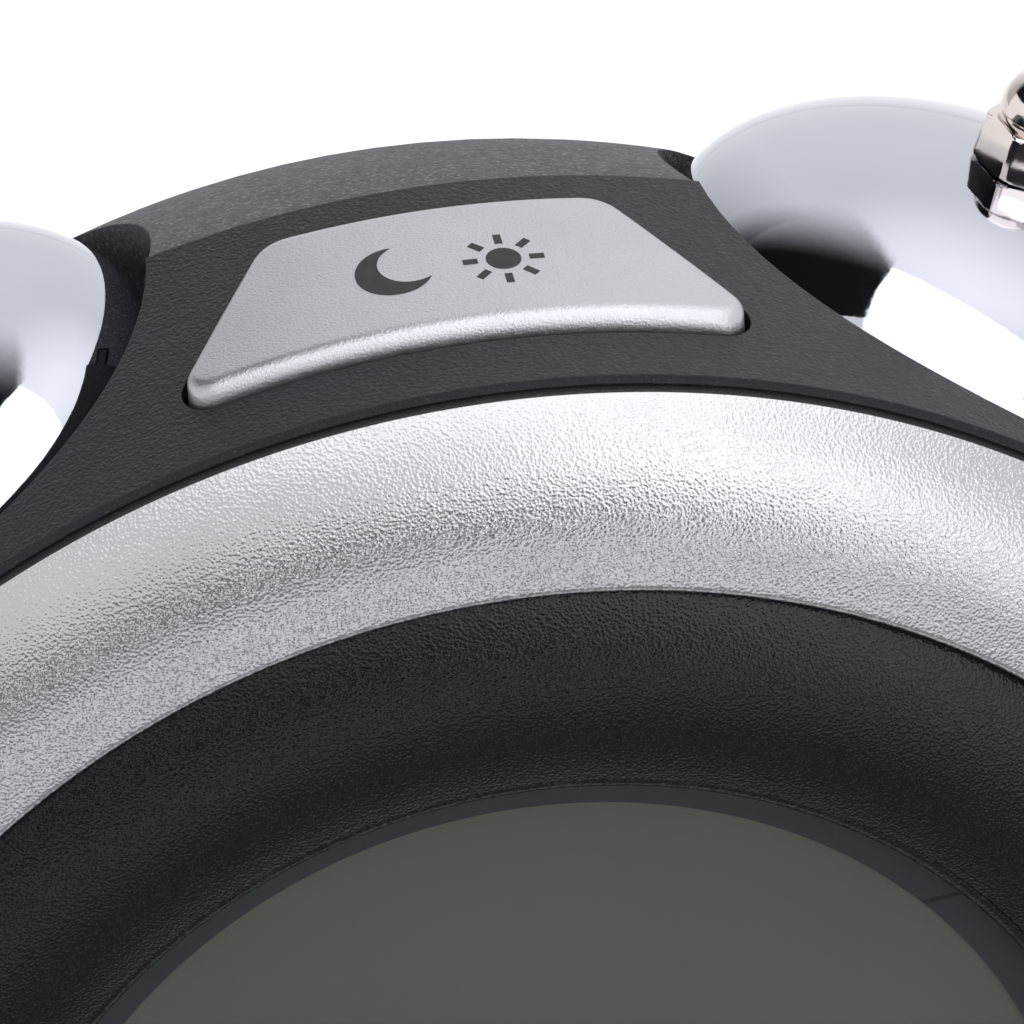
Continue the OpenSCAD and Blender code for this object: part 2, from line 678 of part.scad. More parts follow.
module ribbon_cable() color("#b9bcc2") place() {
  y0 = board_y + board_t;
  sag = -2.4;
  slab(-7, 7, y0, y0 + 3, -1.6, 2.4);
  slab(-7, 7, kb_y - 3, kb_y, -1.6, 2.4);
  translate([-6, 0, 0]) rotate([90, 0, 90]) linear_extrude(height = 12) polygon([
    [y0 + 2, 0.2], [y0 + 4, 0.2], [y0 + 9, sag], [kb_y - 9, sag], [kb_y - 4, 0.2], [kb_y - 2, 0.2],
    [kb_y - 2, 0.8], [kb_y - 4.2, 0.8], [kb_y - 9.2, sag + 0.6], [y0 + 9.2, sag + 0.6],
    [y0 + 4.2, 0.8], [y0 + 2, 0.8]]);
}

// feet and fasteners
module foot(s) color("#2b2b30") place() difference() {
  low = pad_t - axis_h;
  intersection() {
    translate([0, foot_y1 + 1, 0]) rotate([90, 0, 0]) linear_extrude(height = foot_y1 - foot_y0 + 2)
      polygon(soft([[s * 25, low], [s * 42, low], [s * 34.5, -33], [s * 19, -40]], foot_soft));
    translate([min(s * 15, s * 45), 0, 0]) rotate([90, 0, 90]) linear_extrude(height = 30)
      polygon(soft([[foot_y0, low], [foot_y1, low], [foot_y1 - 5, -30], [foot_y0 + 3, -30]], foot_soft));
  }
  spin() front_solid_2d();
  spin() rear_solid_2d();
  for (y = foot_screw_y) radial(s, y) translate([0, 0, 40]) cylinder(r = tap_r + screw_gap, h = 22.5);
}
module left_foot() foot(-1);
module right_foot() foot(1);

module foot_pads() color("#1a1a1c") place() for (s = [-1, 1])
  translate([s * foot_x, 0, -axis_h]) linear_extrude(height = pad_t) union() {
    translate([0, foot_y0 + sole_in]) circle(r = sole_r);
    translate([0, foot_y1 - sole_in]) circle(r = sole_r);
    translate([-sole_r, foot_y0 + sole_in]) square([2 * sole_r, foot_y1 - foot_y0 - 2 * sole_in]);
  }

module foot_screws() color("#a8a49c") place() for (s = [-1, 1]) {
  front = shell_r(foot_screw_y[0]) - wall;
  radial(s, foot_screw_y[0]) translate([0, 0, front - 2.3]) cylinder(r = 2.6, h = 2);
  radial(s, foot_screw_y[0]) translate([0, 0, front - 1]) cylinder(r = tap_r, h = foot_tip - front + 1);
  radial(s, foot_screw_y[1]) translate([0, 0, foot_boss - 2]) cylinder(r = 2.6, h = 2);
  radial(s, foot_screw_y[1]) translate([0, 0, foot_boss - 1])
    cylinder(r = tap_r, h = foot_tip - foot_boss + 1);
}

module housing_screws() color("#a8a49c") place() for (p = boss_at) {
  rod(p[0], p[1], 2.9, boss_seat, boss_seat + 2);
  rod(p[0], p[1], tap_r, 8, boss_seat + 0.5);
}

front_housing();
rear_housing();
bezel_ring();
dial_surround();
display_lens();
display_mask();
lcd_panel();
light_guide();
backlight_leds();
display_frame();
contact_strip();
main_board();
board_parts();
board_screws();
snooze_button();
snooze_board();
snooze_switch();
left_bell();
right_bell();
bell_studs();
bell_spacers();
bell_nuts();
cap_nuts();
stud_nuts();
speaker_basket();
speaker_cone();
vibration_motor();
motor_clamp();
eccentric_weight();
key_board();
key_switches();
time_button();
alarm_button();
up_button();
down_button();
control_pots();
volume_knob();
dimmer_knob();
slide_switch();
alarm_slider();
power_jack();
battery_cells();
battery_contacts();
battery_door();
ribbon_cable();
left_foot();
right_foot();
foot_pads();
foot_screws();
housing_screws();
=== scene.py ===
import bpy
import bmesh
import json
import math
import numpy as np
from mathutils import Matrix, Vector

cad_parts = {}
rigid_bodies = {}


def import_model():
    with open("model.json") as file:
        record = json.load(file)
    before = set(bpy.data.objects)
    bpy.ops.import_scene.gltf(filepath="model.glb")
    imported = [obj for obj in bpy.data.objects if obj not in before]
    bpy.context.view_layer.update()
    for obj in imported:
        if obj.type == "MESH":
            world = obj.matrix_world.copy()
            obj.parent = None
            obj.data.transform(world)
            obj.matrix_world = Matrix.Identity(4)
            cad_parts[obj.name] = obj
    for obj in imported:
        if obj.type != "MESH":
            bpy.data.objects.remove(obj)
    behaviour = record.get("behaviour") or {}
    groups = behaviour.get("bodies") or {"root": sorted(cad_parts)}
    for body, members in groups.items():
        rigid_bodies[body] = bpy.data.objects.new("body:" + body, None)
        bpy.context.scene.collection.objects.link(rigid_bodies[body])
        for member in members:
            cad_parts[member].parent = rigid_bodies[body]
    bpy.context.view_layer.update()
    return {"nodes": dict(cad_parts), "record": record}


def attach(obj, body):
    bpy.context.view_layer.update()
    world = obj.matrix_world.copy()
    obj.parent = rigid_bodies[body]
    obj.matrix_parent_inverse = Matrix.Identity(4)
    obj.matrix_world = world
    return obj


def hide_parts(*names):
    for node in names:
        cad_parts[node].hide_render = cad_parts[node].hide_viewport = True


for stray in list(bpy.data.objects):
    bpy.data.objects.remove(stray)
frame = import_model()
scene = bpy.context.scene
scene.view_settings.view_transform = "Standard"
print("frame loaded,", len(frame["nodes"]), "nodes")

clock = {"axisHeight": 66.0, "middle": 23.0, "back": 46.0}  # mm, where the clock's own axis stands in the frame
fullTurn, quarterTurn = 2 * math.pi, math.pi / 2


def placed(points):  # clock millimetres to the frame's metres
    return (np.asarray(points, float) + [0.0, -clock["middle"], clock["axisHeight"]]) / 1000


# nodes and links, for the studio and for the finishes

def addNode(tree, kind, **values):  # values of its sockets or of the node itself
    made = tree.nodes.new(kind)
    for name, value in values.items():
        if name in made.inputs:
            made.inputs[name].default_value = value
        else:
            setattr(made, name, value)
    return made


def wire(tree, source, target):
    tree.links.new(source, target)


def emptyTree(owner):
    owner.use_nodes = True
    owner.node_tree.nodes.clear()
    return owner.node_tree


def mixedOut(tree, factor, first, second, kind="ShaderNodeOutputMaterial"):
    mix = addNode(tree, "ShaderNodeMixShader")
    wire(tree, factor, mix.inputs[0])
    wire(tree, first.outputs[0], mix.inputs[1])
    wire(tree, second.outputs[0], mix.inputs[2])
    wire(tree, mix.outputs[0], addNode(tree, kind).inputs[0])


def summed(tree, first, second):
    both = addNode(tree, "ShaderNodeAddShader")
    wire(tree, first.outputs[0], both.inputs[0])
    wire(tree, second.outputs[0], both.inputs[1])
    return both


# camera

view = {"aim": (0.99, 0.0, 46.99), "distance": 635.0, "azimuth": -8.39, "elevation": 30.95, "roll": -3.74,
        "focal": 12000.0, "imageWidth": 1024.0, "sensor": 36.0, "near": 0.01, "far": 50.0}


def addCamera():
    az, el, roll = (math.radians(view[k]) for k in ("azimuth", "elevation", "roll"))
    back = Vector((math.sin(az) * math.cos(el), -math.cos(az) * math.cos(el), math.sin(el)))
    right = Vector((math.cos(az), math.sin(az), 0.0))
    up = back.cross(right)
    turnedRight = right * math.cos(roll) + up * math.sin(roll)
    turnedUp = up * math.cos(roll) - right * math.sin(roll)
    spot = Vector(placed(view["aim"])) + back * view["distance"] / 1000
    data = bpy.data.cameras.new("photoCamera")
    data.sensor_fit = "HORIZONTAL"
    data.sensor_width = view["sensor"]
    data.lens = view["focal"] / view["imageWidth"] * view["sensor"]
    data.clip_start = view["near"]
    data.clip_end = view["far"]
    camera = bpy.data.objects.new("photoCamera", data)
    rows = [(turnedRight[k], turnedUp[k], back[k], spot[k]) for k in range(3)]
    camera.matrix_world = Matrix(rows + [(0, 0, 0, 1)])
    scene.collection.objects.link(camera)
    scene.camera = camera


# floor, lamps, and cards that show in gloss alone

studio = {"floor": (0.82, 0.82, 0.83), "floorSize": 3.6, "floorLift": 0.46, "ambient": 0.46,
          "ambientTint": (0.96, 0.97, 1.0), "felt": (0.02, 0.02, 0.022), "feltRough": 0.9, "lampAim": (0, 0, 0.09)}
lamps = {
    "overheadBox": {"shape": "RECTANGLE", "at": (0.426, -0.643, 1.26), "size": (1.5, 1.3), "power": 5.5,
                    "turn": -38.0},  # looks straight down
    "frontBox": {"shape": "ELLIPSE", "at": (0.426, -0.914, 0.42), "size": (0.66, 0.86), "power": 1.5},
    "backFill": {"shape": "ELLIPSE", "at": (0.7, 0.5, 1.2), "size": (0.8, 0.8), "power": 3.4, "gloss": False},
}
nearCard = {"low": (-0.5, -0.28), "high": (0.5, -0.03), "height": 0.001, "fade": (-0.03, -0.10), "most": 0.72}
ceiling = {"outline": ((0.30, 0.40), (-0.16, -0.19), (-2.0, -0.19), (-2.0, 1.8), (0.30, 1.8)), "height": 1.25,
           "lean": 0.5, "fade": (1.1, 0.3), "fadeX": (0.30, 0.20)}
backCard = {"y": 1.6, "left": -2.4, "right": 0.0, "low": 0.05, "top": 2.3, "fade": (0.0, -1.2), "most": 0.48}
horizon = {"centre": (0.0, -0.03, 0.115), "reach": 0.5,  # stops are azimuth, elevation and half height in degrees
           "stops": ((-55, 3, 2.0), (-40, 4, 6.5), (-10, 4.5, 6.8), (1, 3.5, 7.5), (7, 3, 8.0), (13, 3.5, 7.5),
                     (18, 4.5, 5.5), (26, 6, 1.0))}
sideGlow = {"centre": (0.0, 0.0, 0.1), "azimuth": 112, "elevation": 62, "distance": 1.7, "radius": 1.3,
            "strength": 0.55}


def towards(azimuth, elevation):  # degrees from the front, right and up
    az, el = math.radians(azimuth), math.radians(elevation)
    return Vector((math.sin(az) * math.cos(el), -math.cos(az) * math.cos(el), math.sin(el)))


def seenRay(tree):  # 1 for camera, glossy and transmission rays
    path = addNode(tree, "ShaderNodeLightPath")
    first = addNode(tree, "ShaderNodeMath", operation="MAXIMUM")
    second = addNode(tree, "ShaderNodeMath", operation="MAXIMUM")
    wire(tree, path.outputs["Is Camera Ray"], first.inputs[0])
    wire(tree, path.outputs["Is Glossy Ray"], first.inputs[1])
    wire(tree, first.outputs[0], second.inputs[0])
    wire(tree, path.outputs["Is Transmission Ray"], second.inputs[1])
    return second.outputs[0]


def addWorld():
    world = bpy.data.worlds.new("studio")
    scene.world = world
    tree = emptyTree(world)
    soft = addNode(tree, "ShaderNodeBackground", Color=(*studio["ambientTint"], 1), Strength=studio["ambient"])
    white = addNode(tree, "ShaderNodeBackground", Color=(1, 1, 1, 1), Strength=1.0)
    mixedOut(tree, seenRay(tree), soft, white, "ShaderNodeOutputWorld")


def addFloor():
    bpy.ops.mesh.primitive_plane_add(size=studio["floorSize"], location=(0, 0, 0))
    floor = bpy.context.object
    floor.name = "studioFloor"
    paper = bpy.data.materials.new("palePaper")
    tree = emptyTree(paper)
    matte = addNode(tree, "ShaderNodeBsdfDiffuse", Color=(*studio["floor"], 1))
    lifted = summed(tree, matte, addNode(tree, "ShaderNodeEmission", Strength=studio["floorLift"]))
    mixedOut(tree, seenRay(tree), matte, lifted)
    floor.data.materials.append(paper)


def addCard(name, mat, corners, faces=((0, 1, 2, 3),)):
    mesh = bpy.data.meshes.new(name)
    mesh.from_pydata(corners, [], list(faces))
    mesh.materials.append(mat)
    card = bpy.data.objects.new(name, mesh)
    scene.collection.objects.link(card)
    card.visible_camera = False
    card.visible_diffuse = False
    card.visible_shadow = False
    return card


def darkFelt():
    mat = bpy.data.materials.new("darkFelt")
    mat.use_nodes = True
    shader = mat.node_tree.nodes["Principled BSDF"]
    shader.inputs["Base Color"].default_value = (*studio["felt"], 1)
    shader.inputs["Roughness"].default_value = studio["feltRough"]
    return mat


def fadingFelt(name, ramps, most=1.0):  # dark card that fades along one or two ways
    mat = bpy.data.materials.new(name)
    tree = emptyTree(mat)
    spot = addNode(tree, "ShaderNodeTexCoord").outputs["Object"]
    share = addNode(tree, "ShaderNodeMath", operation="MULTIPLY")
    share.inputs[1].default_value = most
    for place, (way, ends) in enumerate(ramps):
        along = addNode(tree, "ShaderNodeVectorMath", operation="DOT_PRODUCT")
        along.inputs[1].default_value = way
        wire(tree, spot, along.inputs[0])
        ramp = addNode(tree, "ShaderNodeMapRange", **{"From Min": ends[0], "From Max": ends[1]})
        ramp.interpolation_type = "SMOOTHSTEP" if len(ramps) > 1 else "LINEAR"
        wire(tree, along.outputs["Value"], ramp.inputs["Value"])
        wire(tree, ramp.outputs[0], share.inputs[place])
    clear = addNode(tree, "ShaderNodeBsdfTransparent")
    mixedOut(tree, share.outputs[0], clear, addNode(tree, "ShaderNodeBsdfDiffuse", Color=(*studio["felt"], 1)))
    return mat


def softGlow():  # strongest in the middle of its card
    mat = bpy.data.materials.new("softGlow")
    tree = emptyTree(mat)
    far = addNode(tree, "ShaderNodeVectorMath", operation="LENGTH")
    wire(tree, addNode(tree, "ShaderNodeTexCoord").outputs["Object"], far.inputs[0])
    ramp = addNode(tree, "ShaderNodeMapRange", interpolation_type="SMOOTHSTEP",
                   **{"From Min": sideGlow["radius"], "From Max": 0.0, "To Max": sideGlow["strength"]})
    wire(tree, far.outputs["Value"], ramp.inputs["Value"])
    light = addNode(tree, "ShaderNodeEmission")
    wire(tree, ramp.outputs[0], light.inputs["Strength"])
    both = summed(tree, addNode(tree, "ShaderNodeBsdfTransparent"), light)
    wire(tree, both.outputs[0], addNode(tree, "ShaderNodeOutputMaterial").inputs[0])
    return mat


def addCards():
    (x0, y0), (x1, y1), z = nearCard["low"], nearCard["high"], nearCard["height"]
    felt = fadingFelt("nearFelt", (((0, 1, 0), nearCard["fade"]),), nearCard["most"])
    addCard("nearCard", felt, [(x0, y0, z), (x1, y0, z), (x1, y1, z), (x0, y1, z)])
    outline = [(x, y, ceiling["height"]) for x, y in ceiling["outline"]]
    felt = fadingFelt("ceilingFelt", (((1, 0, 0), ceiling["fadeX"]), ((ceiling["lean"], 1, 0), ceiling["fade"])))
    addCard("ceilingCard", felt, outline, [tuple(range(len(outline)))])
    x0, x1, y, low, top = (backCard[k] for k in ("left", "right", "y", "low", "top"))
    felt = fadingFelt("backFelt", (((1, 0, 0), backCard["fade"]),), backCard["most"])
    addCard("backCard", felt, [(x0, y, low), (x1, y, low), (x1, y, top), (x0, y, top)])
    band = [tuple(Vector(horizon["centre"]) + towards(az, el + side * half) * horizon["reach"])
            for az, el, half in horizon["stops"] for side in (-1, 1)]
    addCard("horizonCard", darkFelt(), band, [(k, k + 1, k + 3, k + 2) for k in range(0, len(band) - 2, 2)])
    way, reach = towards(sideGlow["azimuth"], sideGlow["elevation"]), sideGlow["radius"]
    square = [(-reach, -reach, 0), (reach, -reach, 0), (reach, reach, 0), (-reach, reach, 0)]
    disc = addCard("glowCard", softGlow(), square)
    disc.location = Vector(sideGlow["centre"]) + way * sideGlow["distance"]
    disc.rotation_euler = way.to_track_quat("Z", "Y").to_euler()


def addLamps():
    for name, lamp in lamps.items():
        data = bpy.data.lights.new(name, "AREA")
        data.shape = lamp["shape"]
        data.size, data.size_y = lamp["size"]
        data.energy = lamp["power"]
        obj = bpy.data.objects.new(name, data)
        obj.location = lamp["at"]
        obj.visible_glossy = lamp.get("gloss", True)
        if "turn" in lamp:
            obj.rotation_euler = (0, 0, math.radians(lamp["turn"]))
        else:
            obj.rotation_euler = (Vector(studio["lampAim"]) - Vector(lamp["at"])).to_track_quat("-Z", "Y").to_euler()
        scene.collection.objects.link(obj)


addCamera()
addWorld()
addFloor()
addCards()
addLamps()
print("camera and studio ready")


# finishes

def newFinish(name):
    mat = bpy.data.materials.new(name)
    mat.use_nodes = True
    tree = mat.node_tree
    coords = addNode(tree, "ShaderNodeTexCoord").outputs["Object"]
    return mat, tree, tree.nodes["Principled BSDF"], coords


def noiseAt(tree, coords, size, detail=2.0, roughness=0.5):  # size of one blotch in mm
    made = addNode(tree, "ShaderNodeTexNoise", Scale=1000.0 / size, Detail=detail, Roughness=roughness)
    wire(tree, coords, made.inputs["Vector"])
    return made.outputs["Fac"]


def cellsAt(tree, coords, size, smooth=0.6):
    made = addNode(tree, "ShaderNodeTexVoronoi", feature="SMOOTH_F1", Scale=1000.0 / size, Smoothness=smooth)
    wire(tree, coords, made.inputs["Vector"])
    return made.outputs["Distance"]


def spread(tree, value, low, high, fromLow=0.3, fromHigh=0.7):
    made = addNode(tree, "ShaderNodeMapRange",
                   **{"From Min": fromLow, "From Max": fromHigh, "To Min": low, "To Max": high})
    wire(tree, value, made.inputs["Value"])
    return made.outputs["Result"]


def blended(tree, factor, first, second):  # colours, or the output of an earlier blend as the first
    made = addNode(tree, "ShaderNodeMix", data_type="RGBA")
    ends = [socket for socket in made.inputs if socket.type == "RGBA"]
    if isinstance(first, bpy.types.NodeSocket):
        wire(tree, first, ends[0])
    else:
        ends[0].default_value = (*first, 1)
    ends[1].default_value = (*second, 1)
    wire(tree, factor, made.inputs["Factor"])
    return [socket for socket in made.outputs if socket.type == "RGBA"][0]


def relief(tree, shader, height, depth, under=None):  # depth in mm
    made = addNode(tree, "ShaderNodeBump", Strength=1.0, Distance=depth / 1000)
    wire(tree, height, made.inputs["Height"])
    if under is not None:
        wire(tree, under, made.inputs["Normal"])
    if shader is not None:
        wire(tree, made.outputs[0], shader.inputs["Normal"])
    return made.outputs[0]


plainLook = {"vary": 0.12, "patch": 7.0, "metal": 0.0, "shine": 0.5, "speckEdge": 0.06, "cornerSamples": 4}


def moulded(name, look):  # plastic, paint, rubber or plated metal with grain
    look = {**plainLook, **look}
    mat, tree, shader, coords = newFinish(name)
    tone, vary = np.array(look["tone"]), look["vary"]
    patches = spread(tree, noiseAt(tree, coords, look["patch"], 3.0), 0, 1)
    colour = blended(tree, patches, tone * (1 - vary), tone * (1 + vary))
    if "speck" in look:  # size, share of the noise that shows, colour
        size, level, speckTone = look["speck"]
        specks = spread(tree, noiseAt(tree, coords, size, 1.0), 0, 1, level, level + look["speckEdge"])
        colour = blended(tree, specks, colour, speckTone)
    wire(tree, colour, shader.inputs["Base Color"])
    shader.inputs["Metallic"].default_value = look["metal"]
    shader.inputs["Specular IOR Level"].default_value = look["shine"]
    wire(tree, spread(tree, noiseAt(tree, coords, look["grain"] * 3), *look["rough"]), shader.inputs["Roughness"])
    under = None
    if "edge" in look:  # worn corner, radius
        corner = addNode(tree, "ShaderNodeBevel", samples=look["cornerSamples"], Radius=look["edge"] / 1000)
        under = corner.outputs[0]
    if "pebble" in look:  # size and depth
        size, depth = look["pebble"]
        under = relief(tree, None, cellsAt(tree, coords, size), depth, under)
    relief(tree, shader, noiseAt(tree, coords, look["grain"], 3.0, 0.6), look["depth"], under)
    return mat


looks = {  # lengths in mm
    "charcoal": ("shellCharcoal", {
        "tone": (0.020, 0.0188, 0.027), "rough": (0.32, 0.44), "grain": 0.22, "depth": 0.06, "shine": 0.34,
        "pebble": (0.26, 0.028), "edge": 0.14, "speck": (0.13, 0.70, (0.10, 0.10, 0.11))}),
    # rougher rear charcoal; its tone, far paler than the front charcoal's, is painted light for the grazing light the
    # rear shell catches
    "charcoal_rear": ("shellRearPaintedLight", {
        "tone": (0.098, 0.096, 0.110), "rough": (0.55, 0.74), "grain": 0.3, "depth": 0.2, "vary": 0.1, "patch": 3.0,
        "edge": 0.16, "speck": (0.28, 0.58, (0.2, 0.2, 0.21))}),
    "satin_silver": ("ringSilver", {
        "tone": (0.52, 0.515, 0.545), "rough": (0.10, 0.17), "grain": 0.11, "depth": 0.014, "metal": 0.9,
        "vary": 0.03, "pebble": (0.17, 0.028)}),
    "button_silver": ("buttonSilver", {
        "tone": (0.57, 0.565, 0.61), "rough": (0.28, 0.38), "grain": 0.13, "depth": 0.03, "metal": 0.85,
        "vary": 0.04, "pebble": (0.18, 0.010)}),
    "black_dial": ("dialBlack", {
        "tone": (0.004, 0.004, 0.007), "rough": (0.14, 0.21), "grain": 0.11, "depth": 0.012, "shine": 0.35,
        "pebble": (0.17, 0.034)}),
    "slate_mask": ("slatePrint", {
        "tone": (0.012, 0.016, 0.022), "rough": (0.3, 0.36), "grain": 0.2, "depth": 0.001, "vary": 0.05}),
    "lcd_green": ("displayGreen", {
        "tone": (0.099, 0.113, 0.090), "rough": (0.5, 0.56), "grain": 0.4, "depth": 0.0002, "vary": 0.03,
        "patch": 24.0, "shine": 0.1}),
    "milky_guide": ("guideMilk", {"tone": (0.8, 0.84, 0.82), "rough": (0.3, 0.4), "grain": 0.5, "depth": 0.002}),
    "led_white": ("ledWhite", {"tone": (0.85, 0.82, 0.62), "rough": (0.3, 0.4), "grain": 0.4, "depth": 0.002}),
    "white_plastic": ("frameWhite", {"tone": (0.7, 0.7, 0.68), "rough": (0.5, 0.6), "grain": 0.4, "depth": 0.005}),
    "pink_rubber": ("stripPink", {"tone": (0.5, 0.25, 0.24), "rough": (0.6, 0.75), "grain": 0.4, "depth": 0.008}),
    "board_green": ("boardGreen", {
        "tone": (0.02, 0.12, 0.05), "rough": (0.3, 0.45), "grain": 0.6, "depth": 0.004, "vary": 0.3, "patch": 3.0}),
    "part_black": ("partBlack", {
        "tone": (0.02, 0.02, 0.022), "rough": (0.4, 0.55), "grain": 0.25, "depth": 0.006, "edge": 0.1}),
    "part_metal": ("partSteel", {
        "tone": (0.5, 0.51, 0.53), "rough": (0.25, 0.42), "grain": 0.4, "depth": 0.003, "metal": 1.0}),
    "screw_zinc": ("screwZinc", {
        "tone": (0.56, 0.54, 0.5), "rough": (0.22, 0.4), "grain": 0.3, "depth": 0.003, "metal": 1.0}),
    "paper_cone": ("conePaper", {"tone": (0.05, 0.047, 0.043), "rough": (0.75, 0.9), "grain": 0.5, "depth": 0.02}),
    "weight_metal": ("weightGrey", {
        "tone": (0.32, 0.31, 0.3), "rough": (0.4, 0.55), "grain": 0.25, "depth": 0.006, "metal": 1.0}),
    "key_black": ("keyBlack", {
        "tone": (0.018, 0.018, 0.020), "rough": (0.45, 0.6), "grain": 0.2, "depth": 0.012, "shine": 0.4}),
    "cell_wrap": ("cellWrap", {"tone": (0.06, 0.1, 0.16), "rough": (0.2, 0.3), "grain": 0.6, "depth": 0.002}),
    "contact_plate": ("contactNickel", {
        "tone": (0.6, 0.57, 0.52), "rough": (0.2, 0.35), "grain": 0.3, "depth": 0.002, "metal": 1.0}),
    "ribbon_grey": ("ribbonGrey", {"tone": (0.42, 0.43, 0.46), "rough": (0.45, 0.6), "grain": 0.5, "depth": 0.004}),
    "pad_rubber": ("padRubber", {"tone": (0.012, 0.012, 0.013), "rough": (0.7, 0.85), "grain": 0.3, "depth": 0.02}),
    "nut_nickel": ("nutNickel", {
        "tone": (0.78, 0.71, 0.68), "rough": (0.05, 0.12), "grain": 0.5, "depth": 0.002, "metal": 1.0, "vary": 0.06}),
}
chrome = {"dark": (0.525, 0.54, 0.61), "pale": (0.565, 0.58, 0.65), "patch": 9.0, "rough": (0.03, 0.06), "haze": 1.2,
          "sheet": (6.0, 0.012), "peel": (0.8, 0.003)}  # unevenness of the pressed sheet, peel of the plating
lens = {"dark": (0.30, 0.32, 0.31), "pale": (0.36, 0.38, 0.37), "patch": 20.0, "alpha": (0.05, 0.07), "veil": 15.0,
        "rough": (0.03, 0.06), "haze": 4.0}
ink = {"dark": (0.020, 0.020, 0.024), "pale": (0.034, 0.034, 0.038), "patch": 0.6, "rough": (0.5, 0.62), "haze": 0.3,
       "grain": (0.15, 0.006)}


def bellChrome():
    mat, tree, shader, coords = newFinish("bellChrome")
    patches = spread(tree, noiseAt(tree, coords, chrome["patch"]), 0, 1)
    wire(tree, blended(tree, patches, chrome["dark"], chrome["pale"]), shader.inputs["Base Color"])
    shader.inputs["Metallic"].default_value = 1.0
    wire(tree, spread(tree, noiseAt(tree, coords, chrome["haze"], 3.0), *chrome["rough"]), shader.inputs["Roughness"])
    size, depth = chrome["sheet"]
    under = relief(tree, None, noiseAt(tree, coords, size, 1.0), depth)
    size, depth = chrome["peel"]
    relief(tree, shader, noiseAt(tree, coords, size), depth, under)
    return mat


def clearLens():
    mat, tree, shader, coords = newFinish("lensClear")
    patches = noiseAt(tree, coords, lens["patch"], 1.0)
    wire(tree, blended(tree, patches, lens["dark"], lens["pale"]), shader.inputs["Base Color"])
    wire(tree, spread(tree, noiseAt(tree, coords, lens["veil"]), *lens["alpha"]), shader.inputs["Alpha"])
    wire(tree, spread(tree, noiseAt(tree, coords, lens["haze"]), *lens["rough"]), shader.inputs["Roughness"])
    return mat


def printInk():
    mat, tree, shader, coords = newFinish("printInk")
    patches = spread(tree, noiseAt(tree, coords, ink["patch"]), 0, 1)
    wire(tree, blended(tree, patches, ink["dark"], ink["pale"]), shader.inputs["Base Color"])
    wire(tree, spread(tree, noiseAt(tree, coords, ink["haze"]), *ink["rough"]), shader.inputs["Roughness"])
    size, depth = ink["grain"]
    relief(tree, shader, noiseAt(tree, coords, size), depth)
    return mat


finishes = {slot: moulded(name, look) for slot, (name, look) in looks.items()}
finishes["bell_chrome"] = bellChrome()
finishes["clear_lens"] = clearLens()
finishes["ink"] = printInk()
slotOf = {part["node"]: part["material_slot"] for part in frame["record"]["subparts"]}
for nodeName, nodeObject in frame["nodes"].items():
    for place in range(len(nodeObject.data.materials)):
        nodeObject.data.materials[place] = finishes[slotOf[nodeName]]
print("finishes made:", len(finishes))


# mesh tools

merge = {"points": 4e-6, "edges": 1e-7, "corners": 1e-6}  # what lies closer is one


def smoothed(obj, sharp=38):
    obj.data.shade_smooth()
    obj.data.set_sharp_from_angle(angle=math.radians(sharp))


def meshFrom(name, grids):  # each grid is rows of points that are skinned with quads
    verts, faces = [], []
    for grid in grids:
        grid = np.asarray(grid, float)
        rows, columns = grid.shape[:2]
        start = len(verts)
        verts.extend(grid.reshape(-1, 3).tolist())
        for i in range(rows - 1):
            for k in range(columns - 1):
                a = start + i * columns + k
                faces.append((a, a + 1, a + columns + 1, a + columns))
    mesh = bpy.data.meshes.new(name)
    mesh.from_pydata(verts, [], faces)
    work = bmesh.new()
    work.from_mesh(mesh)
    bmesh.ops.remove_doubles(work, verts=work.verts, dist=merge["points"])
    bmesh.ops.dissolve_degenerate(work, dist=merge["edges"], edges=work.edges)
    bmesh.ops.recalc_face_normals(work, faces=work.faces)
    work.to_mesh(mesh)
    work.free()
    return mesh


def pieceFrom(name, grids, sharp, finish):
    obj = bpy.data.objects.new(name, meshFrom(name, [placed(grid) for grid in grids]))
    scene.collection.objects.link(obj)
    obj.data.materials.append(finishes[finish])
    smoothed(obj, sharp)
    return obj


def settle(obj, body, slot, *nodes):
    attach(obj, body)
    if nodes:
        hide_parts(*nodes)


def baked(obj, sharp):  # modifiers turned into a plain mesh
    graph = bpy.context.evaluated_depsgraph_get()
    mesh = bpy.data.meshes.new_from_object(obj.evaluated_get(graph))
    old = obj.data
    obj.modifiers.clear()
    obj.data = mesh
    bpy.data.meshes.remove(old)
    smoothed(obj, sharp)


def toBack(grid):  # x, z and depth to x, depth and z, and the other way
    return np.stack([grid[..., 0], grid[..., 2], grid[..., 1]], -1)


def spun(profile, count, x=0.0, z=0.0):  # profile of radius and depth about an axis that runs back
    radius, depth = np.asarray(profile, float).T[:, None, :]
    turn = np.linspace(0, fullTurn, count + 1)[:, None]
    return np.stack([x + radius * np.sin(turn), depth + 0 * turn, z + radius * np.cos(turn)], -1)


def rod(stops, count, wide=1.0, high=1.0):  # along x, round or oval, stops of x and radius
    turn = np.linspace(0, fullTurn, count + 1)
    return np.array([[(x, high * r * math.sin(t), wide * r * math.cos(t)) for t in turn] for x, r in stops])


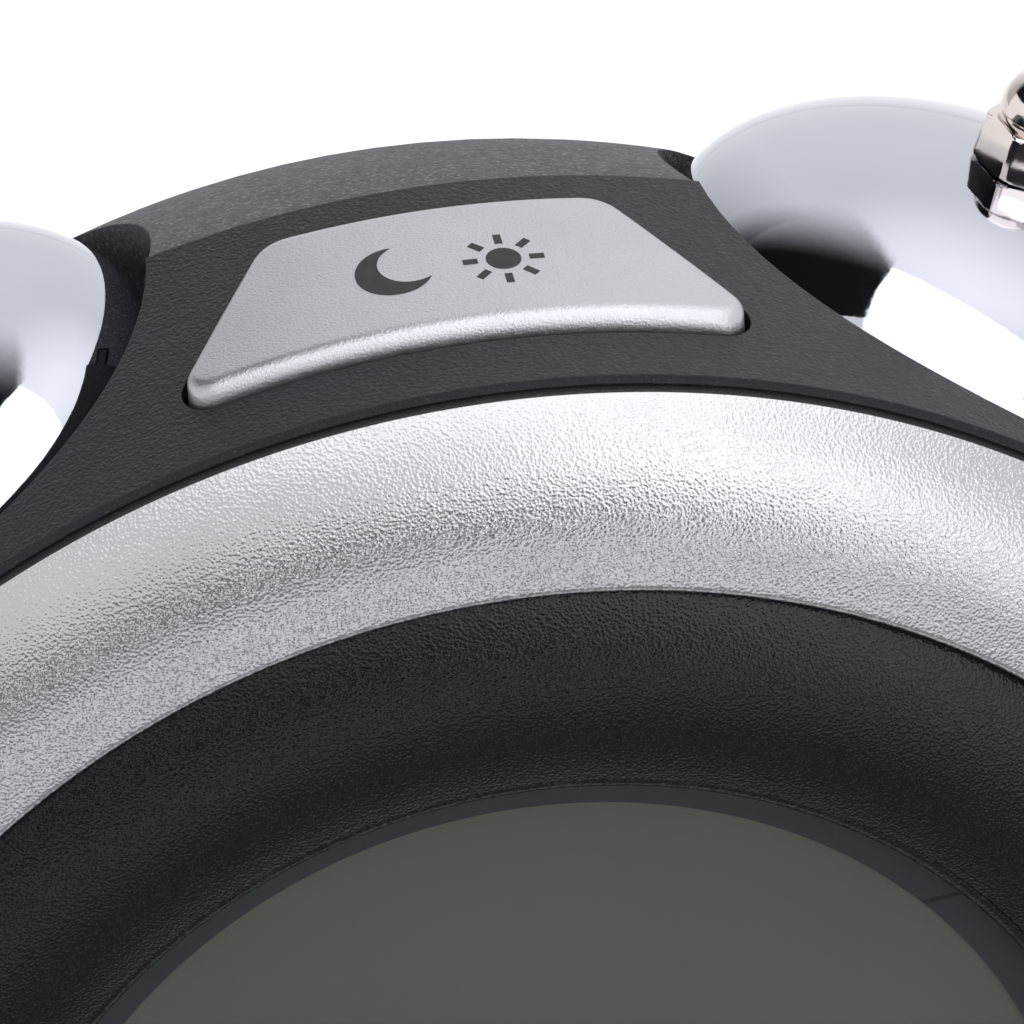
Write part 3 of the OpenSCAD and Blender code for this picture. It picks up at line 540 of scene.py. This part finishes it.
def rounded(corners, steps=6, closed=True):  # corners of x, y and radius
    out = []
    total = len(corners)
    for i, (x, y, radius) in enumerate(corners):
        if radius <= 0 or (not closed and i in (0, total - 1)):
            out.append((x, y))
            continue
        p = np.array([x, y])
        u = np.array(corners[i - 1][:2]) - p
        v = np.array(corners[(i + 1) % total][:2]) - p
        u, v = u / np.linalg.norm(u), v / np.linalg.norm(v)
        half = math.acos(max(-1, min(1, float(u @ v)))) / 2
        middle = p + (u + v) / np.linalg.norm(u + v) * radius / math.sin(half)
        a, b = p + u * radius / math.tan(half) - middle, p + v * radius / math.tan(half) - middle
        start = math.atan2(a[1], a[0])
        sweep = (math.atan2(b[1], b[0]) - start + 3 * math.pi) % fullTurn - math.pi
        for k in range(steps + 1):
            t = start + sweep * k / steps
            out.append((middle[0] + radius * math.cos(t), middle[1] + radius * math.sin(t)))
    if closed:
        out.append(out[0])
    return out


def arc(cx, cy, radius, start, end, steps):
    return [(cx + radius * math.cos(math.radians(t)), cy + radius * math.sin(math.radians(t)))
            for t in np.linspace(start, end, steps)]


def boxCorners(x, y, halfWide, halfHigh, radius):
    return [(x + i * halfWide, y + k * halfHigh, radius) for i, k in ((-1, -1), (1, -1), (1, 1), (-1, 1))]


def refined(outline, step):  # closed outline with points no further apart than step
    out = []
    for a, b in zip(outline[:-1], outline[1:]):
        a, b = np.array(a), np.array(b)
        length = np.linalg.norm(b - a)
        if length < merge["corners"]:  # two rounded corners that meet
            continue
        parts = max(1, math.ceil(length / step))
        out.extend(a + (b - a) * k / parts for k in range(parts))
    return np.array(out + [np.array(outline[0])])


def outward(outline):  # unit normals of a closed outline
    points = outline[:-1]
    ahead, behind = np.roll(points, -1, 0) - points, points - np.roll(points, 1, 0)
    along = ahead / np.linalg.norm(ahead, axis=1)[:, None] + behind / np.linalg.norm(behind, axis=1)[:, None]
    side = np.stack([along[:, 1], -along[:, 0]], -1)
    side /= np.linalg.norm(side, axis=1)[:, None]
    if np.sum(side * (points - points.mean(0))) < 0:
        side = -side
    return np.concatenate([side, side[:1]])


def block(corners, low, high, softLow, softHigh, step=1.5):  # plate with rounded edges, rows of x, y and height
    outline = refined(rounded(corners), step)
    side, middle = outward(outline), outline[:-1].mean(0)
    bend = np.linspace(0, quarterTurn, 5)
    levels = [(softLow * (1 - math.sin(t)), low + softLow * (1 - math.cos(t))) for t in bend]
    levels += [(softHigh * (1 - math.cos(t)), high - softHigh * (1 - math.sin(t))) for t in bend]
    first, last = outline - side * levels[0][0], outline - side * levels[-1][0]
    rows = [np.c_[middle + (first - middle) * s, np.full(len(first), low)] for s in (0, 0.5, 0.96)]
    rows += [np.c_[outline - side * inset, np.full(len(outline), height)] for inset, height in levels]
    rows += [np.c_[middle + (last - middle) * s, np.full(len(last), high)] for s in (0.96, 0.5, 0)]
    return np.array(rows)


# copies of one shape on points, each turned by its own angle

def repeatGroup():
    group = bpy.data.node_groups.new("copiesOnPoints", "GeometryNodeTree")
    sockets = {"Geometry": "NodeSocketGeometry", "Shape": "NodeSocketObject", "Finish": "NodeSocketMaterial"}
    for label, kind in sockets.items():
        group.interface.new_socket(label, in_out="INPUT", socket_type=kind)
    group.interface.new_socket("Geometry", in_out="OUTPUT", socket_type="NodeSocketGeometry")
    start, end = addNode(group, "NodeGroupInput"), addNode(group, "NodeGroupOutput")
    shape = addNode(group, "GeometryNodeObjectInfo")
    angle = addNode(group, "GeometryNodeInputNamedAttribute", data_type="FLOAT", Name="turn")
    euler = addNode(group, "ShaderNodeCombineXYZ")
    copies = addNode(group, "GeometryNodeInstanceOnPoints")
    real = addNode(group, "GeometryNodeRealizeInstances")
    dress = addNode(group, "GeometryNodeSetMaterial")
    wire(group, start.outputs["Geometry"], copies.inputs["Points"])
    wire(group, start.outputs["Shape"], shape.inputs["Object"])
    wire(group, shape.outputs["Geometry"], copies.inputs["Instance"])
    wire(group, angle.outputs["Attribute"], euler.inputs["Y"])
    wire(group, euler.outputs[0], copies.inputs["Rotation"])
    wire(group, copies.outputs[0], real.inputs[0])
    wire(group, real.outputs[0], dress.inputs["Geometry"])
    wire(group, start.outputs["Finish"], dress.inputs["Material"])
    wire(group, dress.outputs[0], end.inputs[0])
    return group


copiesOnPoints = repeatGroup()


def repeated(name, shapeGrid, points, turns, finish, sharp=38):  # shape in mm about its own middle, points in clock mm
    shape = bpy.data.objects.new(name + "Shape", meshFrom(name + "Shape", [np.asarray(shapeGrid, float) / 1000]))
    scene.collection.objects.link(shape)
    smoothed(shape, sharp)
    mesh = bpy.data.meshes.new(name)
    mesh.from_pydata(placed(points).tolist(), [], [])
    mesh.attributes.new("turn", "FLOAT", "POINT").data.foreach_set("value", np.asarray(turns, np.float32))
    obj = bpy.data.objects.new(name, mesh)
    scene.collection.objects.link(obj)
    modifier = obj.modifiers.new("copies", "NODES")
    modifier.node_group = copiesOnPoints
    given = {"Shape": shape, "Finish": finishes[finish]}
    for socket in copiesOnPoints.interface.items_tree:
        if socket.in_out == "INPUT" and socket.name in given:
            modifier[socket.identifier] = given[socket.name]
    baked(obj, sharp)
    bpy.data.objects.remove(shape)
    return obj


# silver ring and dial surround

ring = {"outer": 54.0, "inner": 44.1, "seat": 0.8, "front": -0.3, "steep": 46.0, "flat": 8.5, "reach": 46.5,
        "coneEnd": 45.0, "lip": 0.45, "lipDepth": -2.6, "rebate": (48.4, -0.7), "chamfer": (0.25, 0.05, 0.1),
        "edge": (0.3, 0.2)}


def makeRing():
    steep, flat = math.radians(ring["steep"]), math.radians(ring["flat"])
    outer, inner, seat = ring["outer"], ring["inner"], ring["seat"]
    bow = (outer - ring["reach"]) / (math.sin(steep) - math.sin(flat))
    cx, cy = outer - bow * math.sin(steep), ring["front"] + bow * math.cos(steep)
    (cut, ease, drop), (edgeLow, edgeHigh) = ring["chamfer"], ring["edge"]
    line = [(outer - cut, seat), (outer - ease, seat - drop), (outer, edgeLow), (outer, ring["front"] + edgeHigh)]
    line += [(cx + bow * math.sin(t), cy - bow * math.cos(t)) for t in np.linspace(steep, flat, 40)]
    r, y = line[-1]
    line += [(s, y - (r - s) * math.tan(flat)) for s in np.linspace(r, ring["coneEnd"], 15)[1:]]
    tip = (inner, y - (r - inner) * math.tan(flat))
    line += rounded([line[-1] + (0,), tip + (ring["lip"],), (inner, ring["lipDepth"], 0)], 10, False)[1:]
    wide, deep = ring["rebate"]
    line += [(inner, deep), (wide, deep), (wide, seat), (outer - cut, seat)]
    obj = pieceFrom("silverRing", [spun(line, 480)], 40, "satin_silver")
    settle(obj, "clock", "satin_silver", "bezel_ring")


dial = {"crest": 36.70, "rise": 5.0, "radius": 14.59, "hub": 43.9, "hubEase": (0.08, 0.25), "hubDepth": (-2.7, -2.95),
        "bowlEnd": 32.75, "window": 31.8, "lip": 0.6, "lipDepth": -3.5, "seat": -2.6, "rear": 0.8,
        "inside": ((33.4, -2.6), (33.4, -1.1), (34.9, -1.1), (34.9, -3.2), (38.0, -3.3), (43.0, -1.0), (43.0, 0.8))}


def makeDial():
    cy, hub = dial["radius"] - dial["rise"], dial["hub"]
    ease, bowlStart = dial["hubEase"]
    line = [(hub, dial["rear"]), (hub, dial["hubDepth"][0]), (hub - ease, dial["hubDepth"][1])]
    line += [(r, cy - math.sqrt(dial["radius"] ** 2 - (r - dial["crest"]) ** 2))
             for r in np.linspace(hub - bowlStart, dial["bowlEnd"], 44)]
    line += arc(dial["window"] + dial["lip"], dial["lipDepth"], dial["lip"], 285, 180, 10)
    line += [(dial["window"], dial["seat"]), *dial["inside"], (hub, dial["rear"])]
    obj = pieceFrom("dialSurround", [spun(line, 480)], 40, "black_dial")
    settle(obj, "clock", "black_dial", "dial_surround")


makeRing()
makeDial()
print("ring and dial made")


# bells and cap nuts

bell = {"across": 30.75, "depth": 24.3, "height": 41.2, "lean": 22.5, "radius": 17.5, "rise": 9.0, "power": 1.93,
        "skirt": 1.6, "sheet": 1.0, "bore": 1.6, "boreEase": 0.2, "rim": ((0.15, 0.06), (0.5, 0.0), (0.85, 0.06)),
        "rimRound": 0.3, "top": 8.9}


def bellPlace(points, side):  # stem's own frame, z along the stem, to clock millimetres
    points = np.asarray(points, float)
    lean = math.radians(bell["lean"]) * side
    x = points[..., 0] * math.cos(lean) + points[..., 2] * math.sin(lean) + side * bell["across"]
    y = points[..., 1] + bell["depth"]
    z = -points[..., 0] * math.sin(lean) + points[..., 2] * math.cos(lean) + bell["height"]
    return np.stack([x, y, z], -1)


def bellLine(off, bottom):  # dome that turns ever faster towards its rim
    a, b, power, bore = bell["radius"] - off, bell["rise"] - off, bell["power"], bell["bore"]
    line = [(a * max(math.cos(t), 0.0) ** (2 / power), b * math.sin(t) ** (2 / power))
            for t in np.linspace(quarterTurn, 0, 64)]
    start = (bore, b * (1 - (bore / a) ** power) ** (1 / power))
    return [start] + [p for p in line if p[0] > bore + bell["boreEase"]] + [(a, bottom)]


def makeBell(name, side, node):
    low = -bell["skirt"]
    line = bellLine(0, low + bell["rimRound"])
    line += [(bell["radius"] - inset, low + lift) for inset, lift in bell["rim"]]
    line += bellLine(bell["sheet"], low + bell["rimRound"])[::-1]
    line.append(line[0])
    obj = pieceFrom(name, [bellPlace(toBack(spun(line, 360)), side)], 50, "bell_chrome")
    settle(obj, "clock", "bell_chrome", node)


cap = {"flats": 5.5, "height": 2.8, "dome": 2.6, "domeAt": 3.7, "turn": 10.0, "widest": 3.08, "straight": 0.7,
       "seat": (0.0, 1.4, 2.4), "chamfer": (2.62, 0.62, 0.55),  # radius at the end, what it gains, its height
       "neck": ((0.02, 2.45), (0.1, 2.35), (0.3, 2.35), (0.4, 2.5), (0.5, 2.6))}


def makeCapNuts():
    turn = np.linspace(0, fullTurn, 241)
    flat = (turn - math.radians(cap["turn"]) + math.pi / 6) % (math.pi / 3) - math.pi / 6
    hexagon = np.minimum(cap["flats"] / 2 / np.cos(flat), cap["widest"])
    start, out, tall = cap["chamfer"]
    high, straight = cap["height"], cap["straight"]

    def chamfer(h):  # reach of the turned corners at a height from the nut's end
        return start + out * math.sqrt(1 - (1 - h / tall) ** 2)

    levels = [(0.0, r) for r in cap["seat"]] + [(h, chamfer(h)) for h in np.linspace(0.0, tall, 9)]
    levels += [(h, cap["flats"]) for h in np.linspace(straight, high - straight, 8)]
    levels += [(high - h, chamfer(h)) for h in np.linspace(tall, 0.0, 9)]
    levels += [(high + h, r) for h, r in cap["neck"]]
    levels += [(cap["domeAt"] + y, x) for x, y in arc(0, 0, cap["dome"], 2, 90, 24)]
    rows = []
    for h, limit in levels:
        reach = np.minimum(hexagon, limit) if h <= high else np.full(len(turn), limit)
        rows.append(np.stack([reach * np.sin(turn), reach * np.cos(turn), np.full(len(turn), bell["top"] + h)], -1))
    obj = pieceFrom("capNuts", [bellPlace(np.array(rows), side) for side in (-1, 1)], 28, "nut_nickel")
    settle(obj, "clock", "nut_nickel", "cap_nuts")


makeBell("leftBell", -1, "left_bell")
makeBell("rightBell", 1, "right_bell")
makeCapNuts()
print("bells and cap nuts made")


# snooze button with its printed pictograms

shell = {"front": 0.3, "frontRadius": 54.75, "flare": 1.85 / 18.7}  # the front shell widens to the rear
key = {"frontWidth": 32.4, "rearWidth": 18.6, "front": 4.5, "rear": 15.6, "middle": 9.6, "rise": 1.0, "step": 0.6,
       "corners": (1.5, 2.4, 2.4, 1.5), "frontSoft": 0.95, "sideSoft": 0.5, "inside": 50.42,
       "flange": 0.65, "flangeDrop": 0.2, "flangeTop": (1.0, 1.05),
       "stem": ((0.0, 48.0), (1.5, 48.0), (1.7, 48.2), (1.7, 50.3), (0.0, 50.3)), "stemAt": 11.0}


def keyTop(plan):  # height of the button's face over plan points
    radius = shell["frontRadius"] + shell["flare"] * (plan[:, 1] - shell["front"]) + key["rise"]
    return np.sqrt(radius ** 2 - plan[:, 0] ** 2)


def makeButton():
    half, rear = key["frontWidth"] / 2, key["rearWidth"] / 2
    spots = [(half, key["front"]), (rear, key["rear"]), (-rear, key["rear"]), (-half, key["front"])]
    outline = refined(rounded([spot + (r,) for spot, r in zip(spots, key["corners"])], 12), key["step"])
    side = outward(outline)
    soft = key["sideSoft"] + (key["frontSoft"] - key["sideSoft"]) * np.clip(-side[:, 1], 0, 1)[:, None]
    rows = []

    def add(plan, height):
        rows.append(np.c_[plan, height])

    def sunk(plan, radius):
        return np.sqrt(radius ** 2 - plan[:, 0] ** 2)

    middle = np.array([0.0, key["middle"]])
    wide, rim = outline + side * key["flange"], outline - side * soft
    for s in (0.0, 0.5, 1.0):
        plan = middle + (wide - middle) * s
        add(plan, sunk(plan, key["inside"] - key["flangeDrop"]))
    for plan, lift in zip((wide, outline), key["flangeTop"]):
        add(plan, sunk(plan, key["inside"] + lift))
    for t in np.linspace(0, quarterTurn, 12):
        plan = outline - side * soft * (1 - math.cos(t))
        add(plan, keyTop(plan) - (soft * (1 - math.sin(t)))[:, 0])
    for s in np.linspace(0.96, 0.0, 24):
        plan = middle + (rim - middle) * s
        add(plan, keyTop(plan))
    turn = np.linspace(0, fullTurn, 49)
    stem = [np.stack([r * np.sin(turn), key["stemAt"] + r * np.cos(turn), z + 0 * turn], -1) for r, z in key["stem"]]
    obj = pieceFrom("snoozeButton", [np.array(rows), np.array(stem)], 50, "button_silver")
    settle(obj, "snooze_button", "button_silver", "snooze_button")


marks = {"film": 0.025, "sink": -0.05, "moon": (-3.0, 10.2, 2.1), "bite": (-2.05, 10.75, 1.75),
         "sun": (2.9, 10.0, 0.95), "rays": 8, "rayFrom": 1.4, "rayTo": 2.2, "rayWidth": 0.42}


def makeMarks():
    grids = []

    def film(lines):  # lines of plan points that run across the mark, ended below the face
        lines = [np.asarray(line, float) for line in lines]
        plans = [lines[0], *lines, lines[-1]]
        lifts = [marks["sink"]] + [marks["film"]] * len(lines) + [marks["sink"]]
        grids.append(np.array([np.c_[plan, keyTop(plan) + lift] for plan, lift in zip(plans, lifts)]))

    def circle(x, y, radius, turns):
        return np.stack([x + radius * np.cos(turns), y + radius * np.sin(turns)], -1)

    mx, my, mr = marks["moon"]
    bx, by, br = marks["bite"]
    gap, toBite = math.hypot(bx - mx, by - my), math.atan2(by - my, bx - mx)
    reach = math.acos((mr * mr + gap * gap - br * br) / (2 * mr * gap))
    horns = [(mx + mr * math.cos(t) - bx, my + mr * math.sin(t) - by) for t in (toBite + reach, toBite - reach)]
    start, end = (math.atan2(y, x) for x, y in horns)
    outerLine = circle(mx, my, mr, np.linspace(toBite + reach, toBite - reach + fullTurn, 49))
    innerLine = circle(bx, by, br, np.linspace(start, start + (end - start) % fullTurn, 49))
    film([outerLine + (innerLine - outerLine) * s for s in np.linspace(0, 1, 5)])
    sx, sy, sr = marks["sun"]
    film([circle(sx, sy, sr * s, np.linspace(0, fullTurn, 41)) for s in (1.0, 0.66, 0.33, 0.0)])
    for t in np.arange(marks["rays"]) * fullTurn / marks["rays"]:
        ahead = np.array([math.cos(t), math.sin(t)])
        across = np.array([-math.sin(t), math.cos(t)]) * marks["rayWidth"] / 2
        stops = [np.array([sx, sy]) + ahead * d for d in np.linspace(marks["rayFrom"], marks["rayTo"], 4)]
        film([[p - across * s for p in stops] for s in (1, 0, -1)])
    obj = pieceFrom("buttonMarks", grids, 60, "ink")
    settle(obj, "snooze_button", "part_black")


makeButton()
makeMarks()
print("button made")


# keys, knobs and slider on the back

backKeys = {"across": {"time_button": -13.5, "alarm_button": -4.5, "down_button": 4.5, "up_button": 13.5},
            "height": 2.0, "radius": 3.2, "proud": 1.6, "soft": 0.6, "slope": 0.12, "flangeTop": 43.4,
            "stem": ((0, 40.0), (1.6, 40.0), (1.6, 42.0), (4.2, 42.0), (4.2, 43.4)),
            "dish": (0.16, 2.6), "dishStops": (2.2, 1.7, 1.1, 0.5, 0.0)}  # face hollowed for a finger tip


def makeBackKeys():
    radius, top, (deep, reach) = backKeys["radius"], clock["back"] + backKeys["proud"], backKeys["dish"]
    corners = [(radius, backKeys["flangeTop"], 0), (radius, top, backKeys["soft"]), (0, top - backKeys["slope"], 0)]
    edge = rounded(corners, 8, False)
    dish = [(r, top - deep + deep * (r / reach) ** 2) for r in backKeys["dishStops"]]
    line = [*backKeys["stem"], *edge[:-1], *dish]
    for node, x in backKeys["across"].items():
        obj = pieceFrom(node.replace("_button", "Key"), [spun(line, 96, x, backKeys["height"])], 40, "key_black")
        settle(obj, node, "key_black", node)


knob = {"across": 29.0, "height": 8.0, "shaft": 1.5, "shaftEnd": 39.0,
        "skirt": ((1.5, 46.5, 0), (6.0, 46.5, 0.25), (6.0, 47.6, 0.35), (5.5, 47.75, 0.1), (5.5, 51.0, 0.9),
                  (3.9, 51.0, 0.2), (3.6, 50.65, 0.2), (0, 50.65, 0)),  # radius, depth and rounding
        "ribs": 18, "rib": 0.55, "ribRing": 5.42, "ribMiddle": 48.0,
        "ribStops": ((47.6, 0.0), (47.6, 1.0), (49.4, 1.0), (50.0, 0.96), (50.35, 0.8), (50.55, 0.5), (50.6, 0.0)),
        "pointer": (0.4, 1.1), "pointerAt": 2.3, "pointerDepth": (50.4, 50.8), "pointerSoft": (0.05, 0.12),
        "pointerCorner": 0.3, "pointerStep": 0.4}


def makeKnob(name, side, node):
    x, z, y = side * knob["across"], knob["height"], knob["ribMiddle"]
    line = [(0, knob["shaftEnd"]), (knob["shaft"], knob["shaftEnd"])] + rounded(knob["skirt"], 6, False)
    obj = pieceFrom(name, [spun(line, 144, x, z)], 35, "key_black")
    settle(obj, node, "key_black", node)
    turn = np.linspace(0, fullTurn, 13)
    rib = [[(knob["rib"] * s * math.sin(t), depth - y, knob["rib"] * s * math.cos(t)) for t in turn]
           for depth, s in knob["ribStops"]]
    angles = [fullTurn * (k + 0.5) / knob["ribs"] for k in range(knob["ribs"])]
    points = [(x + knob["ribRing"] * math.sin(t), y, z + knob["ribRing"] * math.cos(t)) for t in angles]
    ribs = repeated(name + "Ribs", rib, points, angles, "key_black")
    settle(ribs, node, "key_black")
    corners = boxCorners(x, z + knob["pointerAt"], *knob["pointer"], knob["pointerCorner"])
    bar = block(corners, *knob["pointerDepth"], *knob["pointerSoft"], knob["pointerStep"])
    pointer = pieceFrom(name + "Pointer", [toBack(bar)], 40, "white_plastic")
    settle(pointer, node, "white_plastic")


slider = {"across": -31.4, "height": -10.0, "top": 47.2,  # each part: half sizes, corner, depths, soft edges, step
          "thumb": ((1.5, 2.5), 0.4, (42.8, 47.2), (0.1, 0.35), 0.8),
          "flange": ((3.2, 7.0), 0.4, (42.1, 43.4), (0.15, 0.15), 1.5),
          "stem": ((1.0, 1.5), 0.2, (39.2, 42.9), (0.1, 0.1), 1.5),
          "ridges": 4, "ridgeStep": 0.95, "ridgeWide": 0.22, "ridgeHigh": 0.25,
          "ridge": ((-1.3, 0.0), (-1.25, 0.6), (-1.1, 1.0), (1.1, 1.0), (1.25, 0.6), (1.3, 0.0))}


def makeSlider():
    x, z, count = slider["across"], slider["height"], slider["ridges"]
    grids = []
    for half, corner, depths, softs, step in (slider[k] for k in ("thumb", "flange", "stem")):
        grids.append(toBack(block(boxCorners(x, z, *half, corner), *depths, *softs, step)))
    obj = pieceFrom("alarmSlider", grids, 40, "key_black")
    settle(obj, "alarm_slider", "key_black", "alarm_slider")
    ridge = rod(slider["ridge"], 12, slider["ridgeWide"], slider["ridgeHigh"])
    points = [(x, slider["top"], z + (k - (count - 1) / 2) * slider["ridgeStep"]) for k in range(count)]
    ridges = repeated("sliderRidges", ridge, points, [0.0] * count, "key_black")
    settle(ridges, "alarm_slider", "key_black")


makeBackKeys()
makeKnob("volumeKnob", -1, "volume_knob")
makeKnob("dimmerKnob", 1, "dimmer_knob")
makeSlider()
print("back controls made")


# battery door, screws, feet and soft pads

door = {"halfWide": 25.6, "low": -30.4, "high": -4.6, "front": 44.3, "rear": 45.9, "step": 2.0,
        "corners": (0.3, 0.3, 1.2, 1.2), "soft": (0.1, 0.3), "hinge": (45.1, -30.6),
        "roll": ((27.0, 0.0), (27.0, 0.4), (26.85, 0.55), (25.6, 0.55), (25.6, 0.7), (25.5, 0.8)),  # pins and barrel
        "ridges": 6, "ridgeFrom": 2.4, "ridgeStep": 1.35, "ridgeWide": 0.42, "ridgeHigh": 0.32,
        "ridge": ((8.0, 0.0), (7.95, 0.5), (7.7, 0.9), (7.4, 1.0))}


def bothEnds(stops):  # stops of one end, and the same mirrored
    return [(-x, r) for x, r in stops] + list(stops)[::-1]


def makeDoor():
    half, low, high, count = door["halfWide"], door["low"], door["high"], door["ridges"]
    spots = ((-half, low), (half, low), (half, high), (-half, high))
    corners = [spot + (r,) for spot, r in zip(spots, door["corners"])]
    plate = block(corners, door["front"], door["rear"], *door["soft"], door["step"])
    y, z = door["hinge"]
    roll = rod(bothEnds(door["roll"]), 32) + [0.0, y, z]
    obj = pieceFrom("batteryDoor", [toBack(plate), roll], 40, "charcoal_rear")
    settle(obj, "battery_door", "charcoal_rear", "battery_door")
    ridge = rod(bothEnds(door["ridge"]), 16, door["ridgeWide"], door["ridgeHigh"])
    points = [(0.0, door["rear"], high - door["ridgeFrom"] - door["ridgeStep"] * k) for k in range(count)]
    ridges = repeated("doorRidges", ridge, points, [0.0] * count, "charcoal_rear")
    settle(ridges, "battery_door", "charcoal_rear")


screw = {"spots": ((39.5, -18.0), (-39.5, -18.0), (41.0, 12.0), (-41.0, 12.0)), "turns": (0.3, 0.9, 0.55, 1.2),
         "seat": 26.0, "head": 2.9, "thick": 2.0, "crown": (0.9, 0.8), "faceFrom": 1.95,
         "body": ((0.0, -18.0), (0.7, -18.0), (1.45, -16.6), (1.45, 0.0), (2.8, 0.0), (2.9, 0.1)),  # from the seat
         "recess": 1.7, "recessEase": 0.15, "slot": 0.42, "slotEase": 0.12, "deep": 1.25, "taper": 0.35}


def makeScrews():
    turn = np.linspace(0, fullTurn, 97)
    rows = []

    def add(radius, depth):
        rows.append(np.stack([radius * np.sin(turn), depth + 0 * turn, radius * np.cos(turn)], -1))

    for radius, depth in screw["body"]:
        add(radius, depth)
    inset, rise = screw["crown"]
    for t in np.linspace(0, quarterTurn, 8):
        add(screw["head"] - inset * (1 - math.cos(t)), rise + (screw["thick"] - rise) * math.sin(t))
    for radius in np.linspace(screw["faceFrom"], 0.0, 22):  # face with its cross recess
        x, z = np.abs(radius * np.sin(turn)), np.abs(radius * np.cos(turn))
        arm = np.clip((screw["slot"] - np.minimum(x, z)) / screw["slotEase"] + 0.5, 0, 1)
        arm *= np.clip((screw["recess"] - radius) / screw["recessEase"], 0, 1)
        add(radius, screw["thick"] - arm * (screw["deep"] - screw["taper"] * radius))
    points = [(x, screw["seat"], z) for x, z in screw["spots"]]
    obj = repeated("housingScrews", rows, points, screw["turns"], "screw_zinc", 30)
    settle(obj, "clock", "screw_zinc", "housing_screws")


foot = {"merge": 2e-6, "voxel": 0.45, "smooth": 5, "factor": 0.5}


def makeFoot(name, node):  # the solid with its edges softened
    mesh = frame["nodes"][node].data.copy()
    work = bmesh.new()
    work.from_mesh(mesh)
    bmesh.ops.remove_doubles(work, verts=work.verts, dist=foot["merge"])
    work.to_mesh(mesh)
    work.free()
    obj = bpy.data.objects.new(name, mesh)
    scene.collection.objects.link(obj)
    remesh = obj.modifiers.new("even", "REMESH")
    remesh.mode = "VOXEL"
    remesh.voxel_size = foot["voxel"] / 1000
    ease = obj.modifiers.new("ease", "SMOOTH")
    ease.factor = foot["factor"]
    ease.iterations = foot["smooth"]
    baked(obj, 180)
    obj.data.materials.clear()
    obj.data.materials.append(finishes["charcoal"])
    settle(obj, "clock", "charcoal", node)


sole = {"across": 33.5, "middle": 21.0, "half": (5.59, 13.59), "low": -66.0, "high": -64.0, "soft": (0.5, 0.1),
        "step": 1.0}


def makeSoles():
    grids = []
    for side in (-1, 1):
        corners = boxCorners(side * sole["across"], sole["middle"], *sole["half"], sole["half"][0])  # half round ends
        grids.append(block(corners, sole["low"], sole["high"], *sole["soft"], sole["step"]))
    obj = pieceFrom("softPads", grids, 40, "pad_rubber")
    settle(obj, "clock", "pad_rubber", "foot_pads")


makeDoor()
makeScrews()
makeFoot("leftFoot", "left_foot")
makeFoot("rightFoot", "right_foot")
makeSoles()
print("door, screws and feet made")
